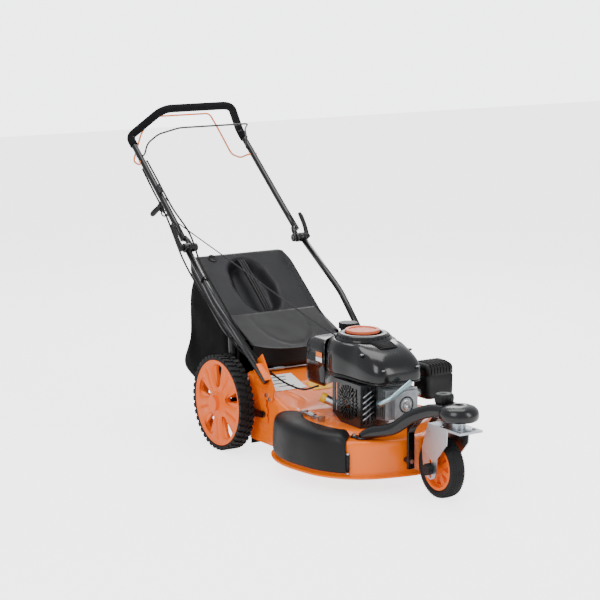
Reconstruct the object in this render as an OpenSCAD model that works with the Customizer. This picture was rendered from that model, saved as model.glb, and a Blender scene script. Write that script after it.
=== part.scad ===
// Three-wheeled petrol lawn mower: steel cutting deck, vertical-shaft engine,
// geared rear wheels, a front caster, a grass bag and a fold-down handle.
// X points forward, Y to the mower's left, Z up, and the ground is at Z = 0.

/* [Wheels] */
// Radius of a rear tyre
rear_r = 150; // [148:0.5:152]
// Width of a rear tyre
rear_w = 50; // [46:1:50]
// Radius of the front tyre
front_r = 90; // [88:0.5:90]
// Width of the front tyre
front_w = 46; // [42:1:46]
// Distance from the rear axle to the front axle
wheelbase = 821; // [818:1:824]

/* [Deck] */
// Radius of the round cutting chamber at its rolled rim
deck_r = 285; // [284:0.5:286]
// Height of the deck's rim above the ground
rim_z = 42; // [38:1:46]
// Thickness of the deck's steel
steel = 2.5; // [2:0.5:3]
// Length of the cutting blade from tip to tip
blade_len = 508; // [480:2:512]

/* [Handle] */
// Outer diameter of the handle tubes
tube_d = 20; // [19:0.5:21]
// Diameter of the foam grip
grip_d = 27; // [26:0.5:28]
// Angle of the upper handle above level
handle_slope = 39.2; // [38.8:0.1:39.6]

/* [Bag] */
// Half width of the grass bag
bag_half = 188; // [182:1:188]
// Thickness of the bag's wall
bag_wall = 3; // [2:0.5:4]

/* [Engine] */
// Bore of the cylinder
bore_d = 70; // [66:1:72]
// Stroke of the piston
stroke = 52; // [48:1:54]

/* [Hidden] */
$fn = 64;

// Foremost and rearmost points, measured from the rear axle, and the axle's own place
front_end = 960;
rear_end = -710.68;
axle_x = -(front_end + rear_end) / 2;
rear_inner = 222;
hub_end = 288;
rim_fit = rear_r - 16;
// Pivot of the wheel arms, which is also the drive shaft's line
pivot_x = 33;
pivot_z = 127;
ring_teeth = 60;
pinion_teeth = 14;
// Direction from the wheel's axle to the drive shaft, where the gears mesh
mesh_angle = atan2(pivot_z - rear_r, pivot_x);
crank_x = 415;
deck_x = 430;
wall_in = 17;
shoulder_z = 150;
deck_top = 165;
tunnel_half = 190;
tunnel_x = 15;
blade_z = 62;
// Handle clamp, where the upper handle folds
clamp = [-278, 0, 597];
tube_r = tube_d / 2;
cover_gap = 2;

module placed() translate([axle_x, 0, 0]) children();
module both_sides() {
    children();
    mirror([0, 1, 0]) children();
}
// A round bar between two points
module bar(p, q, r, fn = 32) {
    d = q - p;
    translate(p) rotate([0, acos(d[2] / norm(d)), atan2(d[1], d[0])])
        cylinder(h = norm(d), r = r, $fn = fn);
}
// A round bar bent through a list of points
module rod(points, r, fn = 32) {
    for (i = [0:len(points) - 2]) bar(points[i], points[i + 1], r, fn);
    for (i = [1:len(points) - 2]) translate(points[i]) sphere(r + 0.15, $fn = fn);
}
// A list of points followed by its mirror image, for a bar that crosses the machine
function there_and_back(p) = concat(p, [for (i = [len(p) - 1:-1:0]) [p[i][0], -p[i][1], p[i][2]]]);
// A cylinder across the machine at x, z from y0 to y1
module across(x, z, y0, y1, r) translate([x, y0, z]) rotate([-90, 0, 0]) cylinder(h = y1 - y0, r = r);
// A plate drawn in the side view, from y0 to y1
module side_plate(y0, y1) translate([0, y1, 0]) rotate([90, 0, 0]) linear_extrude(y1 - y0) children();
module block(x0, x1, y0, y1, z0, z1) translate([x0, y0, z0]) cube([x1 - x0, y1 - y0, z1 - z0]);
// A hex head with its shank, pointing down
module bolt(p, head = 6, length = 12) translate(p) {
    cylinder(h = 5, r = head, $fn = 6);
    translate([0, 0, -length]) cylinder(h = length + 1, r = head / 2, $fn = 24);
}
// A point s along the upper handle from its clamp and n out from its front side
function on_handle(s, n, y) = [clamp[0] - s * cos(handle_slope) + n * sin(handle_slope), y,
    clamp[2] + s * sin(handle_slope) + n * cos(handle_slope)];
// Rings of a tube swept along a list of points, and the tube itself; side is a direction that
// the route never follows
function unit(v) = v / norm(v);
function tangent(p, i) = unit(p[min(i + 1, len(p) - 1)] - p[max(i - 1, 0)]);
function ring(c, t, r, n, side) = let (a = unit(cross(t, side)), b = cross(t, a))
    [for (k = [0:n - 1]) c + r * (a * cos(360 * k / n) + b * sin(360 * k / n))];
// Points of a smooth curve through a route
function smooth(p) = concat([for (i = [0:len(p) - 2]) for (t = [0:0.25:0.99])
    let (a = p[max(i - 1, 0)], b = p[i], c = p[i + 1], d = p[min(i + 2, len(p) - 1)])
    0.5 * (2 * b + (c - a) * t + (2 * a - 5 * b + 4 * c - d) * t * t
        + (3 * b - a - 3 * c + d) * t * t * t)], [p[len(p) - 1]]);
// Points of a route whose corners are bent round, starting a length away from each corner
function bent(p, length) = concat([p[0]], [for (i = [1:len(p) - 2]) for (t = [0:0.2:1])
    let (a = p[i] + length * unit(p[i - 1] - p[i]), c = p[i] + length * unit(p[i + 1] - p[i]))
    (1 - t) * (1 - t) * a + 2 * t * (1 - t) * p[i] + t * t * c], [p[len(p) - 1]]);
module tube_along(p, r, n, side) {
    m = len(p);
    polyhedron(
        points = [for (i = [0:m - 1]) each ring(p[i], tangent(p, i), r, n, side)],
        faces = concat([[for (k = [0:n - 1]) k]], [[for (k = [n - 1:-1:0]) (m - 1) * n + k]],
            [for (i = [0:m - 2]) for (k = [0:n - 1])
                [i * n + k, (i + 1) * n + k, (i + 1) * n + (k + 1) % n, i * n + (k + 1) % n]]));
}
module swept_tube(route, r, n = 8) tube_along(smooth(route), r, n, [0.31, 0.9, 0.3]);

// ---- Deck ----
// Plan of the deck, grown by g beyond its upright wall
module deck_plan(g) {
    translate([deck_x, 0]) circle(deck_r - wall_in + g, $fn = 128);
    translate([deck_x + 70, -75]) circle(deck_r - wall_in - 85 + g, $fn = 128);
    translate([60, -tunnel_half - min(g, 0)])
        square([deck_x - 60, 2 * tunnel_half + 2 * min(g, 0)]);
}
// Side view of the discharge tunnel at the back, shrunk by the steel where t is set
module tunnel_view(t) polygon([[tunnel_x - t, 100], [tunnel_x - t, 245 - t], [80, 240 - t],
    [290, deck_top - t], [420, 150], [420, 100]]);
// Places of the trailing skirt's rod, the front arm's bolts and the handle brackets' bolts
skirt_x = 68;
skirt_z = 88;
foot = [622, 142];
foot_bolt = [601, 155];
strut_y = 38;
strut_bolt_z = 90;
bracket_bolts = [[176, 199], [194, 189]];
module deck_shell() placed() color("darkorange") difference() {
    union() {
        translate([0, 0, rim_z]) linear_extrude(6) deck_plan(wall_in);
        translate([0, 0, rim_z]) linear_extrude(shoulder_z - rim_z) deck_plan(0);
        translate([deck_x, 0, shoulder_z - 1]) cylinder(h = deck_top - shoulder_z + 1, r1 = 214, r2 = 198);
        side_plate(-tunnel_half, tunnel_half) tunnel_view(0);
        both_sides() across(pivot_x, pivot_z, tunnel_half - 6, tunnel_half + 1, 18);
    }
    translate([0, 0, rim_z - 1]) linear_extrude(shoulder_z - steel - rim_z + 1) deck_plan(-steel);
    translate([deck_x, 0, rim_z]) cylinder(h = deck_top - steel - rim_z, r = 195);
    side_plate(steel - tunnel_half, tunnel_half - steel) tunnel_view(steel);
    block(0, 60, -tunnel_half - 5, tunnel_half + 5, 40, 112);
    block(40, 120, steel - tunnel_half, tunnel_half - steel, 40, 180);
    translate([crank_x, 0, 100]) cylinder(h = 80, r = 24);
    both_sides() across(pivot_x, pivot_z, 150, 210, 11.3);
    across(skirt_x, skirt_z, -210, 210, 3.1);
    both_sides() {
        translate([foot_bolt[0], foot_bolt[1], 100]) cylinder(h = 80, r = 3.2);
        for (p = bracket_bolts) across(p[0], p[1], 180, 200, 3.2);
    }
    for (s = [-1, 1]) translate([640, s * strut_y, strut_bolt_z]) rotate([0, 90, 0]) cylinder(h = 80, r = 4);
    // Side discharge window behind the side cover
    block(330, 560, -300, -225, 74, 138);
    for (a = [45:90:315]) translate([crank_x + 72 * cos(a), 72 * sin(a), 100]) cylinder(h = 80, r = 4.2);
}
module trailing_skirt() placed() color([0.13, 0.13, 0.14]) difference() {
    union() {
        block(skirt_x - 1.5, skirt_x + 1.5, 4 - tunnel_half, tunnel_half - 4, 24, skirt_z);
        across(skirt_x, skirt_z, 4 - tunnel_half, tunnel_half - 4, 6);
    }
    across(skirt_x, skirt_z, -tunnel_half, tunnel_half, 3.06);
}
// Flat guard under the belt's run
module belt_cover() placed() color([0.2, 0.2, 0.2]) block(150, 330, -175, -98, 128, 130.5);
// Hinged black cover over the side discharge window
module side_cover() placed() color([0.12, 0.12, 0.13]) difference() {
    union() {
        intersection() {
            union() {
                translate([0, 0, 58]) linear_extrude(114) difference() {
                    deck_plan(cover_gap + 11);
                    deck_plan(cover_gap);
                }
                translate([0, 0, 168]) linear_extrude(4) deck_plan(cover_gap + 11);
            }
            block(288, 628, -290, -170, 50, 180);
        }
        translate([352, -166, 176]) rotate([0, 90, 0]) cylinder(h = 76, r = 6);
        block(352, 428, -180, -166, 170, 178);
    }
    translate([340, -166, 176]) rotate([0, 90, 0]) cylinder(h = 100, r = 3.06);
    // Room for the hinge lugs
    for (x = [338, 430]) block(x, x + 12, -178, -160, 160, 190);
}
module rear_flap() placed() color([0.13, 0.13, 0.14]) difference() {
    union() {
        side_plate(-160, 160) polygon([[-112, 392], [-110, 397], [40, 325], [66, 309], [71, 295],
            [70, 254], [64, 254], [65, 293], [61, 304], [37, 319]]);
        for (y = [-150, -20, 110]) across(62, 250, y, y + 40, 6.5);
    }
    across(62, 250, -170, 170, 3.06);
    // Room for the two torsion springs
    for (y = [-102, 58]) across(62, 250, y, y + 40, 7);
}
// Zinc-plated hinge rods with their lugs, the flap's torsion springs and the bolts
module rods_and_bolts() placed() color("silver") {
    across(skirt_x, skirt_z, -tunnel_half - 2, tunnel_half + 2, 3);
    translate([338, -166, 176]) rotate([0, 90, 0]) cylinder(h = 104, r = 3);
    for (x = [340, 432]) difference() {
        block(x, x + 8, -174, -152, deck_top + 0.2, 182);
        translate([x - 1, -166, 176]) rotate([0, 90, 0]) cylinder(h = 10, r = 3.02);
    }
    across(62, 250, -164, 164, 3);
    both_sides() difference() {
        block(52, 72, 160.6, 163.5, 242.5, 258);
        across(62, 250, 150, 170, 3.02);
    }
    for (y = [-100, 60]) difference() {
        across(62, 250, y, y + 36, 5.5);
        across(62, 250, y - 1, y + 37, 3.4);
    }
    for (a = [45:90:315]) bolt([crank_x + 72 * cos(a), 72 * sin(a), 177.5], 7, 28);
    both_sides() {
        bolt([foot_bolt[0], foot_bolt[1], 156.6], 6, 14);
        for (p = bracket_bolts) across(p[0], p[1], 184, 195, 3);
        for (p = bracket_bolts) translate([p[0], 194.6, p[1]]) rotate([-90, 0, 0])
            cylinder(h = 5, r = 6, $fn = 6);
    }
    for (s = [-1, 1]) translate([685, s * strut_y, strut_bolt_z]) rotate([0, 90, 0]) {
        cylinder(h = 40, r = 3.8);
        translate([0, 0, 39.3]) cylinder(h = 4, r = 7, $fn = 6);
    }
}
// Plates and channels that hold the lower handle tubes
module handle_brackets() placed() color("darkorange") both_sides() {
    difference() {
        side_plate(190.3, 194.3) polygon([[140, 186], [204, 182], [218, 226], [146, 322], [118, 300],
            [150, 244]]);
        for (p = bracket_bolts) across(p[0], p[1], 180, 200, 3.2);
    }
    translate([lower_route[0][0], lower_y[0], lower_route[0][2]]) rotate([0, lower_slope, 0])
        for (z = [-15, 12]) translate([-62, -12.7, z]) cube([66, 24, 3]);
}
// ---- Engine ----
module engine_flange() placed() color([0.62, 0.63, 0.65]) difference() {
    translate([crank_x, 0, deck_top]) union() {
        cylinder(h = 12, r = 92);
        cylinder(h = 30, r = 78);
    }
    translate([crank_x, 0, deck_top - 1]) cylinder(h = 40, r = 12.55);
    translate([crank_x, 0, deck_top + 12]) cylinder(h = 40, r = 70);
    for (a = [45:90:315]) translate([crank_x + 72 * cos(a), 72 * sin(a), 160]) cylinder(h = 60, r = 4.2);
    for (a = [45:90:315]) translate([crank_x + 72 * cos(a), 72 * sin(a), 177.5]) cylinder(h = 60, r = 9);
}
// Aluminium crankcase and finned cylinder in one casting
module crankcase() placed() color([0.62, 0.63, 0.65]) difference() {
    union() {
        translate([crank_x, 0, deck_top + 30]) cylinder(h = 95, r = 78);
        translate([crank_x, 0, 289]) cylinder(h = 16, r = 30);
        translate([470, 0, 235]) rotate([0, 90, 0]) cylinder(h = 104, r = 42);
        for (x = [502:9:570]) block(x, x + 3.5, -56, 56, 188, 282);
    }
    translate([crank_x, 0, deck_top + 20]) cylinder(h = 10, r = 79);
    translate([crank_x, 0, deck_top + 29]) cylinder(h = 90, r = 70);
    translate([crank_x, 0, 200]) cylinder(h = 120, r = 12.55);
    translate([440, 0, 235]) rotate([0, 90, 0]) cylinder(h = 160, r = bore_d / 2 + 0.05);
}
module cylinder_head() placed() color([0.75, 0.76, 0.78]) difference() {
    union() {
        translate([574.2, 0, 235]) rotate([0, 90, 0]) cylinder(h = 14, r = 42);
        for (x = [576:9:612]) block(x, x + 3.5, -56, 56, 190, 280);
        block(588, 612, -40, 40, 200, 272);
        block(612, 634, -34, 46, 194, 276);
    }
    translate([570, 0, 235]) rotate([0, 90, 0]) cylinder(h = 12, r = 30);
    bar([600, -78, 238], [600, -30, 238], 7.1);
}
module spark_plug() placed() color("lightsteelblue") {
    bar([600, -74, 238], [600, -32, 238], 7);
    bar([600, -58, 238], [600, -70, 238], 11);
    tube_along(bent([[600, -66, 238], [626, -82, 246], [648, -56, 264], [650, 10, 306]], 12), 8, 16,
        [1, 0, -0.6]);
}
module muffler() placed() color([0.35, 0.34, 0.33]) {
    block(462, 562, -104, -66, 186, 282);
    bar([540, -67, 240], [540, -56.4, 240], 12);
}
module muffler_guard() placed() color([0.1, 0.1, 0.11]) difference() {
    side_plate(-116, -62) polygon([[424, 190], [470, 166.5], [574, 166.5], [574, 293.5], [424, 293.5]]);
    block(420, 571.5, -113.5, -59, 150, 291);
    for (x = [440:18:548]) block(x, x + 8, -120, -110, 196, 280);
    for (y = [-106:14:-76]) block(560, 580, y, y + 7, 178, 282);
}
// Fan cowl: a round blower case drawn out forwards over the cylinder
module blower_housing() placed() color([0.12, 0.12, 0.13]) difference() {
    union() {
        translate([crank_x, 0, 0]) rotate_extrude() polygon([[0, 294], [112, 294], [113, 345],
            [104, 376], [92, 392], [86, 410], [60, 417], [0, 417]]);
        hull() {
            block(crank_x, 618, -98, 100, 300, 318);
            block(crank_x, 560, -92, 94, 318, 356);
            block(crank_x, 500, -80, 80, 356, 384);
        }
    }
    translate([crank_x, 0, 290]) cylinder(h = 82, r = 106);
    translate([crank_x, 0, 370]) cylinder(h = 40, r = 80);
    translate([crank_x, 0, 290]) cylinder(h = 140, r = 46);
    block(470, 606, -88, 90, 290, 340);
    for (a = [-60:12:60]) translate([crank_x, 0, 400]) rotate([0, 0, a]) translate([76, -3, -5])
        cube([30, 6, 9]);
    bar([318, -52, 398], [370, -30, 386], 5);
}
module starter_disc() placed() color("coral") translate([crank_x - 5, 0, 417.2]) difference() {
    cylinder(h = 8, r = 52);
    translate([0, 0, 5]) cylinder(h = 4, r = 42);
}
module recoil_pulley() placed() color([0.25, 0.25, 0.26]) translate([crank_x, 0, 0]) difference() {
    rotate_extrude() polygon([[0, 376], [66, 376], [66, 380], [48, 383], [66, 386], [66, 390], [0, 390]]);
    translate([0, 0, 370]) cylinder(h = 30, r = 8);
}
module fuel_tank() placed() color([0.1, 0.1, 0.11]) difference() {
    union() {
        block(236, 372, -106, 96, 246, 386);
        block(246, 330, -96, 86, 386, 394);
        translate([272, 40, 380]) cylinder(h = 20, r = 24);
    }
    block(240, 368, -102, 92, 250, 382);
    translate([crank_x, 0, 240]) cylinder(h = 170, r = 116);
    translate([272, 40, 370]) cylinder(h = 40, r = 20);
}
module fuel_cap() placed() color([0.14, 0.14, 0.15]) translate([272, 40, 400.4]) {
    difference() {
        cylinder(h = 18, r = 30);
        for (a = [0:20:340]) rotate([0, 0, a]) translate([32, 0, -1]) cylinder(h = 30, r = 4, $fn = 24);
    }
    translate([0, 0, -18]) cylinder(h = 19, r = 19.6);
}
module air_filter_box() placed() color([0.12, 0.12, 0.13]) difference() {
    union() {
        block(500, 580, 118, 214, 222, 330);
        block(508, 572, 118, 220, 230, 322);
    }
    block(504, 576, 122, 210, 226, 326);
    bar([540, 100, 240], [540, 130, 240], 13);
}
module filter_element() placed() color("goldenrod") block(510, 570, 150, 196, 234, 320);
module carburettor() placed() color([0.7, 0.71, 0.73]) {
    bar([540, 57, 240], [540, 121, 240], 12.5);
    block(522, 558, 66, 98, 222, 262);
    translate([540, 82, 196]) cylinder(h = 27, r = 16);
}
// A point along the oil filler neck
function filler(t) = [404, -74, 196] + t * [-32, -30, 18];
module oil_filler() placed() color("silver") difference() {
    union() {
        bar(filler(0), filler(1), 13);
        translate([404, -76, 178]) cylinder(h = 22, r = 14);
    }
    bar(filler(0.3), filler(1.3), 9.1);
    translate([crank_x, 0, 170]) cylinder(h = 60, r = 78.2);
}
module dipstick() placed() color("gold") {
    bar(filler(1.01), filler(1.35), 15);
    bar(filler(0.5), filler(1.02), 9);
}
module crankshaft() placed() color([0.7, 0.7, 0.72]) {
    translate([crank_x, 0, 70]) cylinder(h = 145, r = 12.5);
    translate([crank_x, 0, 255]) cylinder(h = 117, r = 12.5);
    for (z = [212, 248]) translate([0, 0, z]) {
        translate([crank_x, 0, 0]) cylinder(h = 9, r = 36);
    }
    translate([crank_x + stroke / 2, 0, 215]) cylinder(h = 40, r = 10);
}
module piston() placed() color([0.8, 0.8, 0.82]) difference() {
    translate([508, 0, 235]) rotate([0, 90, 0]) cylinder(h = 40, r = bore_d / 2);
    translate([507, 0, 235]) rotate([0, 90, 0]) cylinder(h = 34, r = bore_d / 2 - 5);
    for (x = [536, 541]) translate([x, 0, 235]) rotate([0, 90, 0]) difference() {
        cylinder(h = 1.6, r = bore_d / 2 + 1);
        cylinder(h = 1.6, r = bore_d / 2 - 2);
    }
    across(526, 235, -40, 40, 8);
}
module flywheel() placed() color([0.5, 0.5, 0.52]) translate([crank_x, 0, 0]) difference() {
    union() {
        translate([0, 0, 312]) cylinder(h = 24, r = 88);
        for (a = [0:24:336]) rotate([0, 0, a]) translate([52, -2, 335]) cube([40, 4, 26]);
        translate([0, 0, 306]) cylinder(h = 40, r = 24);
    }
    translate([0, 0, 300]) cylinder(h = 60, r = 12.5);
    translate([0, 0, 305]) difference() {
        cylinder(h = 22, r = 80);
        cylinder(h = 22, r = 26);
    }
}
// ---- Cutter and drive train ----
module drive_pulley() placed() color([0.45, 0.45, 0.47]) translate([crank_x, 0, 0]) difference() {
    rotate_extrude() polygon([[0, 136], [36, 136], [36, 138.5], [26, 141], [26, 147], [36, 149.5],
        [36, 152], [0, 152]]);
    translate([0, 0, 130]) cylinder(h = 30, r = 12.5);
}
// Pressed steel blade with lifted wings, on its adapter
module blade() placed() color([0.25, 0.25, 0.27]) translate([crank_x, 0, blade_z]) difference() {
    union() {
        block(-blade_len / 2, blade_len / 2, -26, 26, 0, 4);
        for (a = [0, 180]) rotate([0, 0, a]) translate([blade_len / 2 - 92, 14, 3])
            rotate([35, 0, 0]) cube([88, 22, 3.5]);
        translate([0, 0, 4]) cylinder(h = 34, r = 24);
    }
    translate([0, 0, -1]) cylinder(h = 60, r = 5.1);
    translate([0, 0, 8]) cylinder(h = 40, r = 12.5);
}
module blade_bolt() placed() color([0.6, 0.6, 0.62]) translate([crank_x, 0, blade_z]) {
    translate([0, 0, -10]) cylinder(h = 7, r = 11, $fn = 6);
    translate([0, 0, -3]) cylinder(h = 3, r = 18);
    translate([0, 0, -1]) cylinder(h = 9, r = 5);
}
belt_end = [110, -136];
belt_line = atan2(-belt_end[1], crank_x - belt_end[0]);
// Outline of the belt's loop round both pulleys, g outside the bottoms of their grooves
function half_circle(c, r, a) = [for (t = [a:7.5:a + 180]) c + r * [cos(t), sin(t)]];
function belt_outline(g) = concat(half_circle([crank_x, 0], 27 + g, belt_line - 90),
    half_circle(belt_end, 31 + g, belt_line + 90));
module drive_belt() placed() color([0.1, 0.1, 0.1]) translate([0, 0, 141.5]) linear_extrude(5)
    difference() {
        polygon(belt_outline(9));
        polygon(belt_outline(0));
    }
module gearbox() placed() color([0.55, 0.56, 0.58]) difference() {
    union() {
        block(6, 84, -172, -118, 100, 134);
        across(pivot_x, pivot_z, -178, -112, 20);
        translate([belt_end[0], belt_end[1], 104]) cylinder(h = 30, r = 24);
    }
    across(pivot_x, pivot_z, -190, -100, 6.05);
    translate([belt_end[0], belt_end[1], 112]) cylinder(h = 40, r = 6.05);
}
module input_pulley() placed() color([0.45, 0.45, 0.47]) translate([belt_end[0], belt_end[1], 0]) {
    rotate_extrude() polygon([[0, 136], [40, 136], [40, 138.5], [30, 141], [30, 147], [40, 149.5],
        [40, 152], [0, 152]]);
    translate([0, 0, 112.5]) cylinder(h = 24, r = 6);
}
module drive_shaft() placed() color("silver") across(pivot_x, pivot_z, -240, 240, 6);
// Outline of a gear with straight-sided teeth: root radius, tip radius and half widths in degrees
module gear_outline(teeth, root, tip, half_root, half_tip) polygon([for (i = [0:teeth - 1])
    each [for (q = [[root, -half_root], [tip, -half_tip], [tip, half_tip], [root, half_root]])
        let (a = mesh_angle + 360 * i / teeth + q[1]) [q[0] * cos(a), q[0] * sin(a)]]]);
module pinion(y0, y1) translate([pivot_x, 0, pivot_z]) side_plate(y0, y1) difference() {
    gear_outline(pinion_teeth, 10.2, 13.6, 6.5, 3.2);
    circle(6.05);
}
module pinion_left() placed() color("dimgray") pinion(224, 236);
module pinion_right() placed() color("dimgray") pinion(-236, -224);
module axle_arms() placed() color([0.15, 0.15, 0.16]) difference() {
    union() {
        both_sides() {
            hull() {
                across(0, rear_r, 200, 206, 19);
                across(pivot_x, pivot_z, 200, 206, 19);
            }
            across(0, rear_r, 200, hub_end - 6, 8);
            side_plate(200, 206) polygon([[10, 112], [-12, 140], [-34, 150], [-38, 128], [-4, 108]]);
        }
        across(-26, 137, -205, 205, 7);
        // Finger that settles in a notch of the height sector
        side_plate(-206, -200) polygon([[pivot_x + 6, 112], [168, 128], [178, 140], [168, 148],
            [pivot_x + 6, 144]]);
    }
    both_sides() across(pivot_x, pivot_z, 190, 210, 11.06);
}
module lift_lever() placed() color([0.12, 0.12, 0.13]) {
    side_plate(-212, -207) polygon([[20, 118], [10, 150], [2, 172], [-16, 318], [-4, 320],
        [14, 176], [30, 146]]);
    bar([-9, -209.5, 300], [-14, -209.5, 352], 9.5);
    across(19, 152, -212, -206.2, 5);
}
// Notched height sector and the two shaft bushes
module height_quadrant() placed() color("darkorange") {
    side_plate(-198, -194.6) difference() {
        translate([pivot_x, pivot_z]) intersection() {
            difference() {
                circle(150);
                circle(116);
            }
            polygon([[90, -14], [200, -14], [200, 190], [60, 190]]);
        }
        for (a = [3:12:63]) translate([pivot_x + 150 * cos(a), pivot_z + 150 * sin(a)]) circle(6);
    }
    for (a = [8, 55]) translate([pivot_x + 126 * cos(a), -194.7, pivot_z + 126 * sin(a)])
        rotate([-90, 0, 0]) cylinder(h = 4.5, r = 6);
    both_sides() difference() {
        across(pivot_x, pivot_z, tunnel_half - 9, 207, 11);
        across(pivot_x, pivot_z, 150, 210, 6.05);
    }
}
// ---- Rear wheels ----
module rear_tyre() translate([0, 0, rear_r]) rotate([-90, 0, 0]) rotate_extrude($fn = 128)
    polygon([[rim_fit, rear_inner + 4], [rear_r - 8, rear_inner], [rear_r - 2, rear_inner + 3],
        [rear_r, rear_inner + 9], [rear_r, rear_inner + rear_w - 9],
        [rear_r - 2, rear_inner + rear_w - 3], [rear_r - 8, rear_inner + rear_w],
        [rim_fit, rear_inner + rear_w - 4]]);
module spoke_window() polygon([[48, -5], [112, -17], [120, -12], [120, 12], [112, 17], [48, 5]]);
module rear_rim() translate([0, 0, rear_r]) difference() {
    union() {
        rotate([-90, 0, 0]) rotate_extrude($fn = 128) polygon([[8.05, 242], [26, 242], [30, 246],
            [100, 254], [122, 250], [126, 230], [rim_fit - 3, 224], [rim_fit, 224], [rim_fit, 270],
            [rim_fit - 4, 270], [rim_fit - 8, 262], [44, 264], [30, 276], [8.05, 276]]);
        side_plate(228, 250) difference() {
            circle(62);
            gear_outline(ring_teeth, 50.9, 55, 2.1, 1.4);
        }
        translate([0, hub_end - 14, 0]) rotate([-90, 0, 0]) difference() {
            cylinder(h = 14, r = 24);
            translate([0, 0, -1]) cylinder(h = 10, r = 12);
        }
    }
    for (k = [0:4]) side_plate(215, 285) rotate(18 + 72 * k) spoke_window();
}
module rear_tyre_left() placed() color([0.1, 0.1, 0.11]) rear_tyre();
module rear_tyre_right() placed() color([0.1, 0.1, 0.11]) mirror([0, 1, 0]) rear_tyre();
module rear_rim_left() placed() color("darkorange") rear_rim();
module rear_rim_right() placed() color("darkorange") mirror([0, 1, 0]) rear_rim();
// ---- Front caster ----
king_x = 900;
lock_x = 829;
module front_arm() placed() color([0.12, 0.12, 0.13]) difference() {
    union() {
        both_sides() {
            rod([[foot[0], foot[1], 172], [708, 88, 188], [762, 58, 236], [830, 24, 262],
                [892, 10, 265]], 19);
            translate([foot[0], foot[1], shoulder_z + 0.3]) cylinder(h = 6, r = 22);
            translate([foot[0], foot[1], shoulder_z + 0.3]) cylinder(h = 21.7, r = 17);
            translate([foot_bolt[0], foot_bolt[1], shoulder_z + 0.3]) cylinder(h = 6, r = 11);
            side_plate(26, 50) polygon([[716, 66], [724, 66], [724, 176], [738, 194], [788, 240],
                [764, 246], [716, 196]]);
            translate([697, strut_y, strut_bolt_z]) rotate([0, 90, 0]) cylinder(h = 20, r = 9);
        }
        translate([king_x, 0, 0]) rotate_extrude() polygon([[0, 244], [52, 244], [58, 252],
            [58, 268], [50, 282], [36, 287], [0, 288]]);
        translate([lock_x, 0, 246]) cylinder(h = 30, r = 26);
    }
    translate([king_x, 0, 240]) cylinder(h = 40, r = 10.05);
    translate([lock_x, 0, 230]) cylinder(h = 60, r = 5.3);
    translate([lock_x, 0, 276.2]) cylinder(h = 40, r = 31);
    both_sides() {
        translate([foot_bolt[0], foot_bolt[1], 140]) cylinder(h = 30, r = 3.2);
        translate([foot_bolt[0], foot_bolt[1], 156.3]) cylinder(h = 30, r = 8);
        translate([690, strut_y, strut_bolt_z]) rotate([0, 90, 0]) cylinder(h = 60, r = 4);
    }
}
module lock_knob() placed() color([0.12, 0.12, 0.13]) translate([lock_x, 0, 0]) {
    translate([0, 0, 224]) cylinder(h = 60, r = 5);
    rotate_extrude() polygon([[0, 276.5], [18, 276.5], [29, 288], [29, 300], [22, 306], [0, 308]]);
}
module caster_fork() placed() color([0.78, 0.78, 0.76]) difference() {
    union() {
        block(806, 960, -40, 40, 215, 222);
        both_sides() side_plate(36.5, 40) polygon([[808, 222], [778, 146], [786, 84], [800, 64],
            [822, 58], [842, 66], [850, 88], [854, 126], [896, 172], [900, 222]]);
        translate([king_x, 0, 221]) cylinder(h = 22, r = 20);
        translate([king_x, 0, 222]) cylinder(h = 56, r = 10);
    }
    translate([lock_x, 0, 200]) cylinder(h = 40, r = 6);
    for (z = [front_r - 22, front_r, front_r + 22]) across(wheelbase, z, -50, 50, 5.05);
}
module front_axle() placed() color([0.3, 0.3, 0.31]) {
    across(wheelbase, front_r, -56, 50, 5);
    across(wheelbase, front_r, 40.2, 47, 9);
    translate([wheelbase, 0, front_r]) side_plate(-58, -40.3) difference() {
        circle(17);
        for (a = [0:60:300]) rotate(a) translate([20, 0]) circle(6);
    }
}
module front_tyre() placed() color([0.1, 0.1, 0.11]) translate([wheelbase, 0, front_r])
    rotate([-90, 0, 0]) rotate_extrude($fn = 128) polygon([[66, -front_w / 2 + 5],
        [78, -front_w / 2], [86, -front_w / 2 + 5], [front_r, -10], [front_r, 10],
        [86, front_w / 2 - 5], [78, front_w / 2], [66, front_w / 2 - 5]]);
module front_rim() placed() color("darkorange") translate([wheelbase, 0, front_r]) difference() {
    rotate([-90, 0, 0]) rotate_extrude() polygon([[5.05, -24], [13, -24], [16, -12], [54, -8],
        [58, -19], [66, -19], [66, 19], [58, 19], [54, 8], [16, 12], [13, 24], [5.05, 24]]);
    for (k = [0:7]) side_plate(-30, 30) rotate(45 * k) polygon([[24, -3], [50, -11], [50, 11],
        [24, 3]]);
}
// ---- Grass bag ----
lid_middle = [-219, 0, 462];
lid_tilt = 38;
// Side view of the bag, shrunk by t and carried up by top
module bag_view(t, top) polygon([[-48 - t, 140 + t], [-48 - t, 340 + top], [-345 + t, 525 + top],
    [-349 + t, 275], [-396 + t, 192], [-380 + t, 160 + t], [-290, 136 + t], [-120, 124 + t]]);
module bag_body() placed() color([0.1, 0.1, 0.11]) difference() {
    side_plate(-bag_half, bag_half) bag_view(0, 0);
    side_plate(bag_wall - bag_half, bag_half - bag_wall) bag_view(bag_wall, 30);
    block(-60, -40, -160, 160, 160, 310);
}
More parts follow.
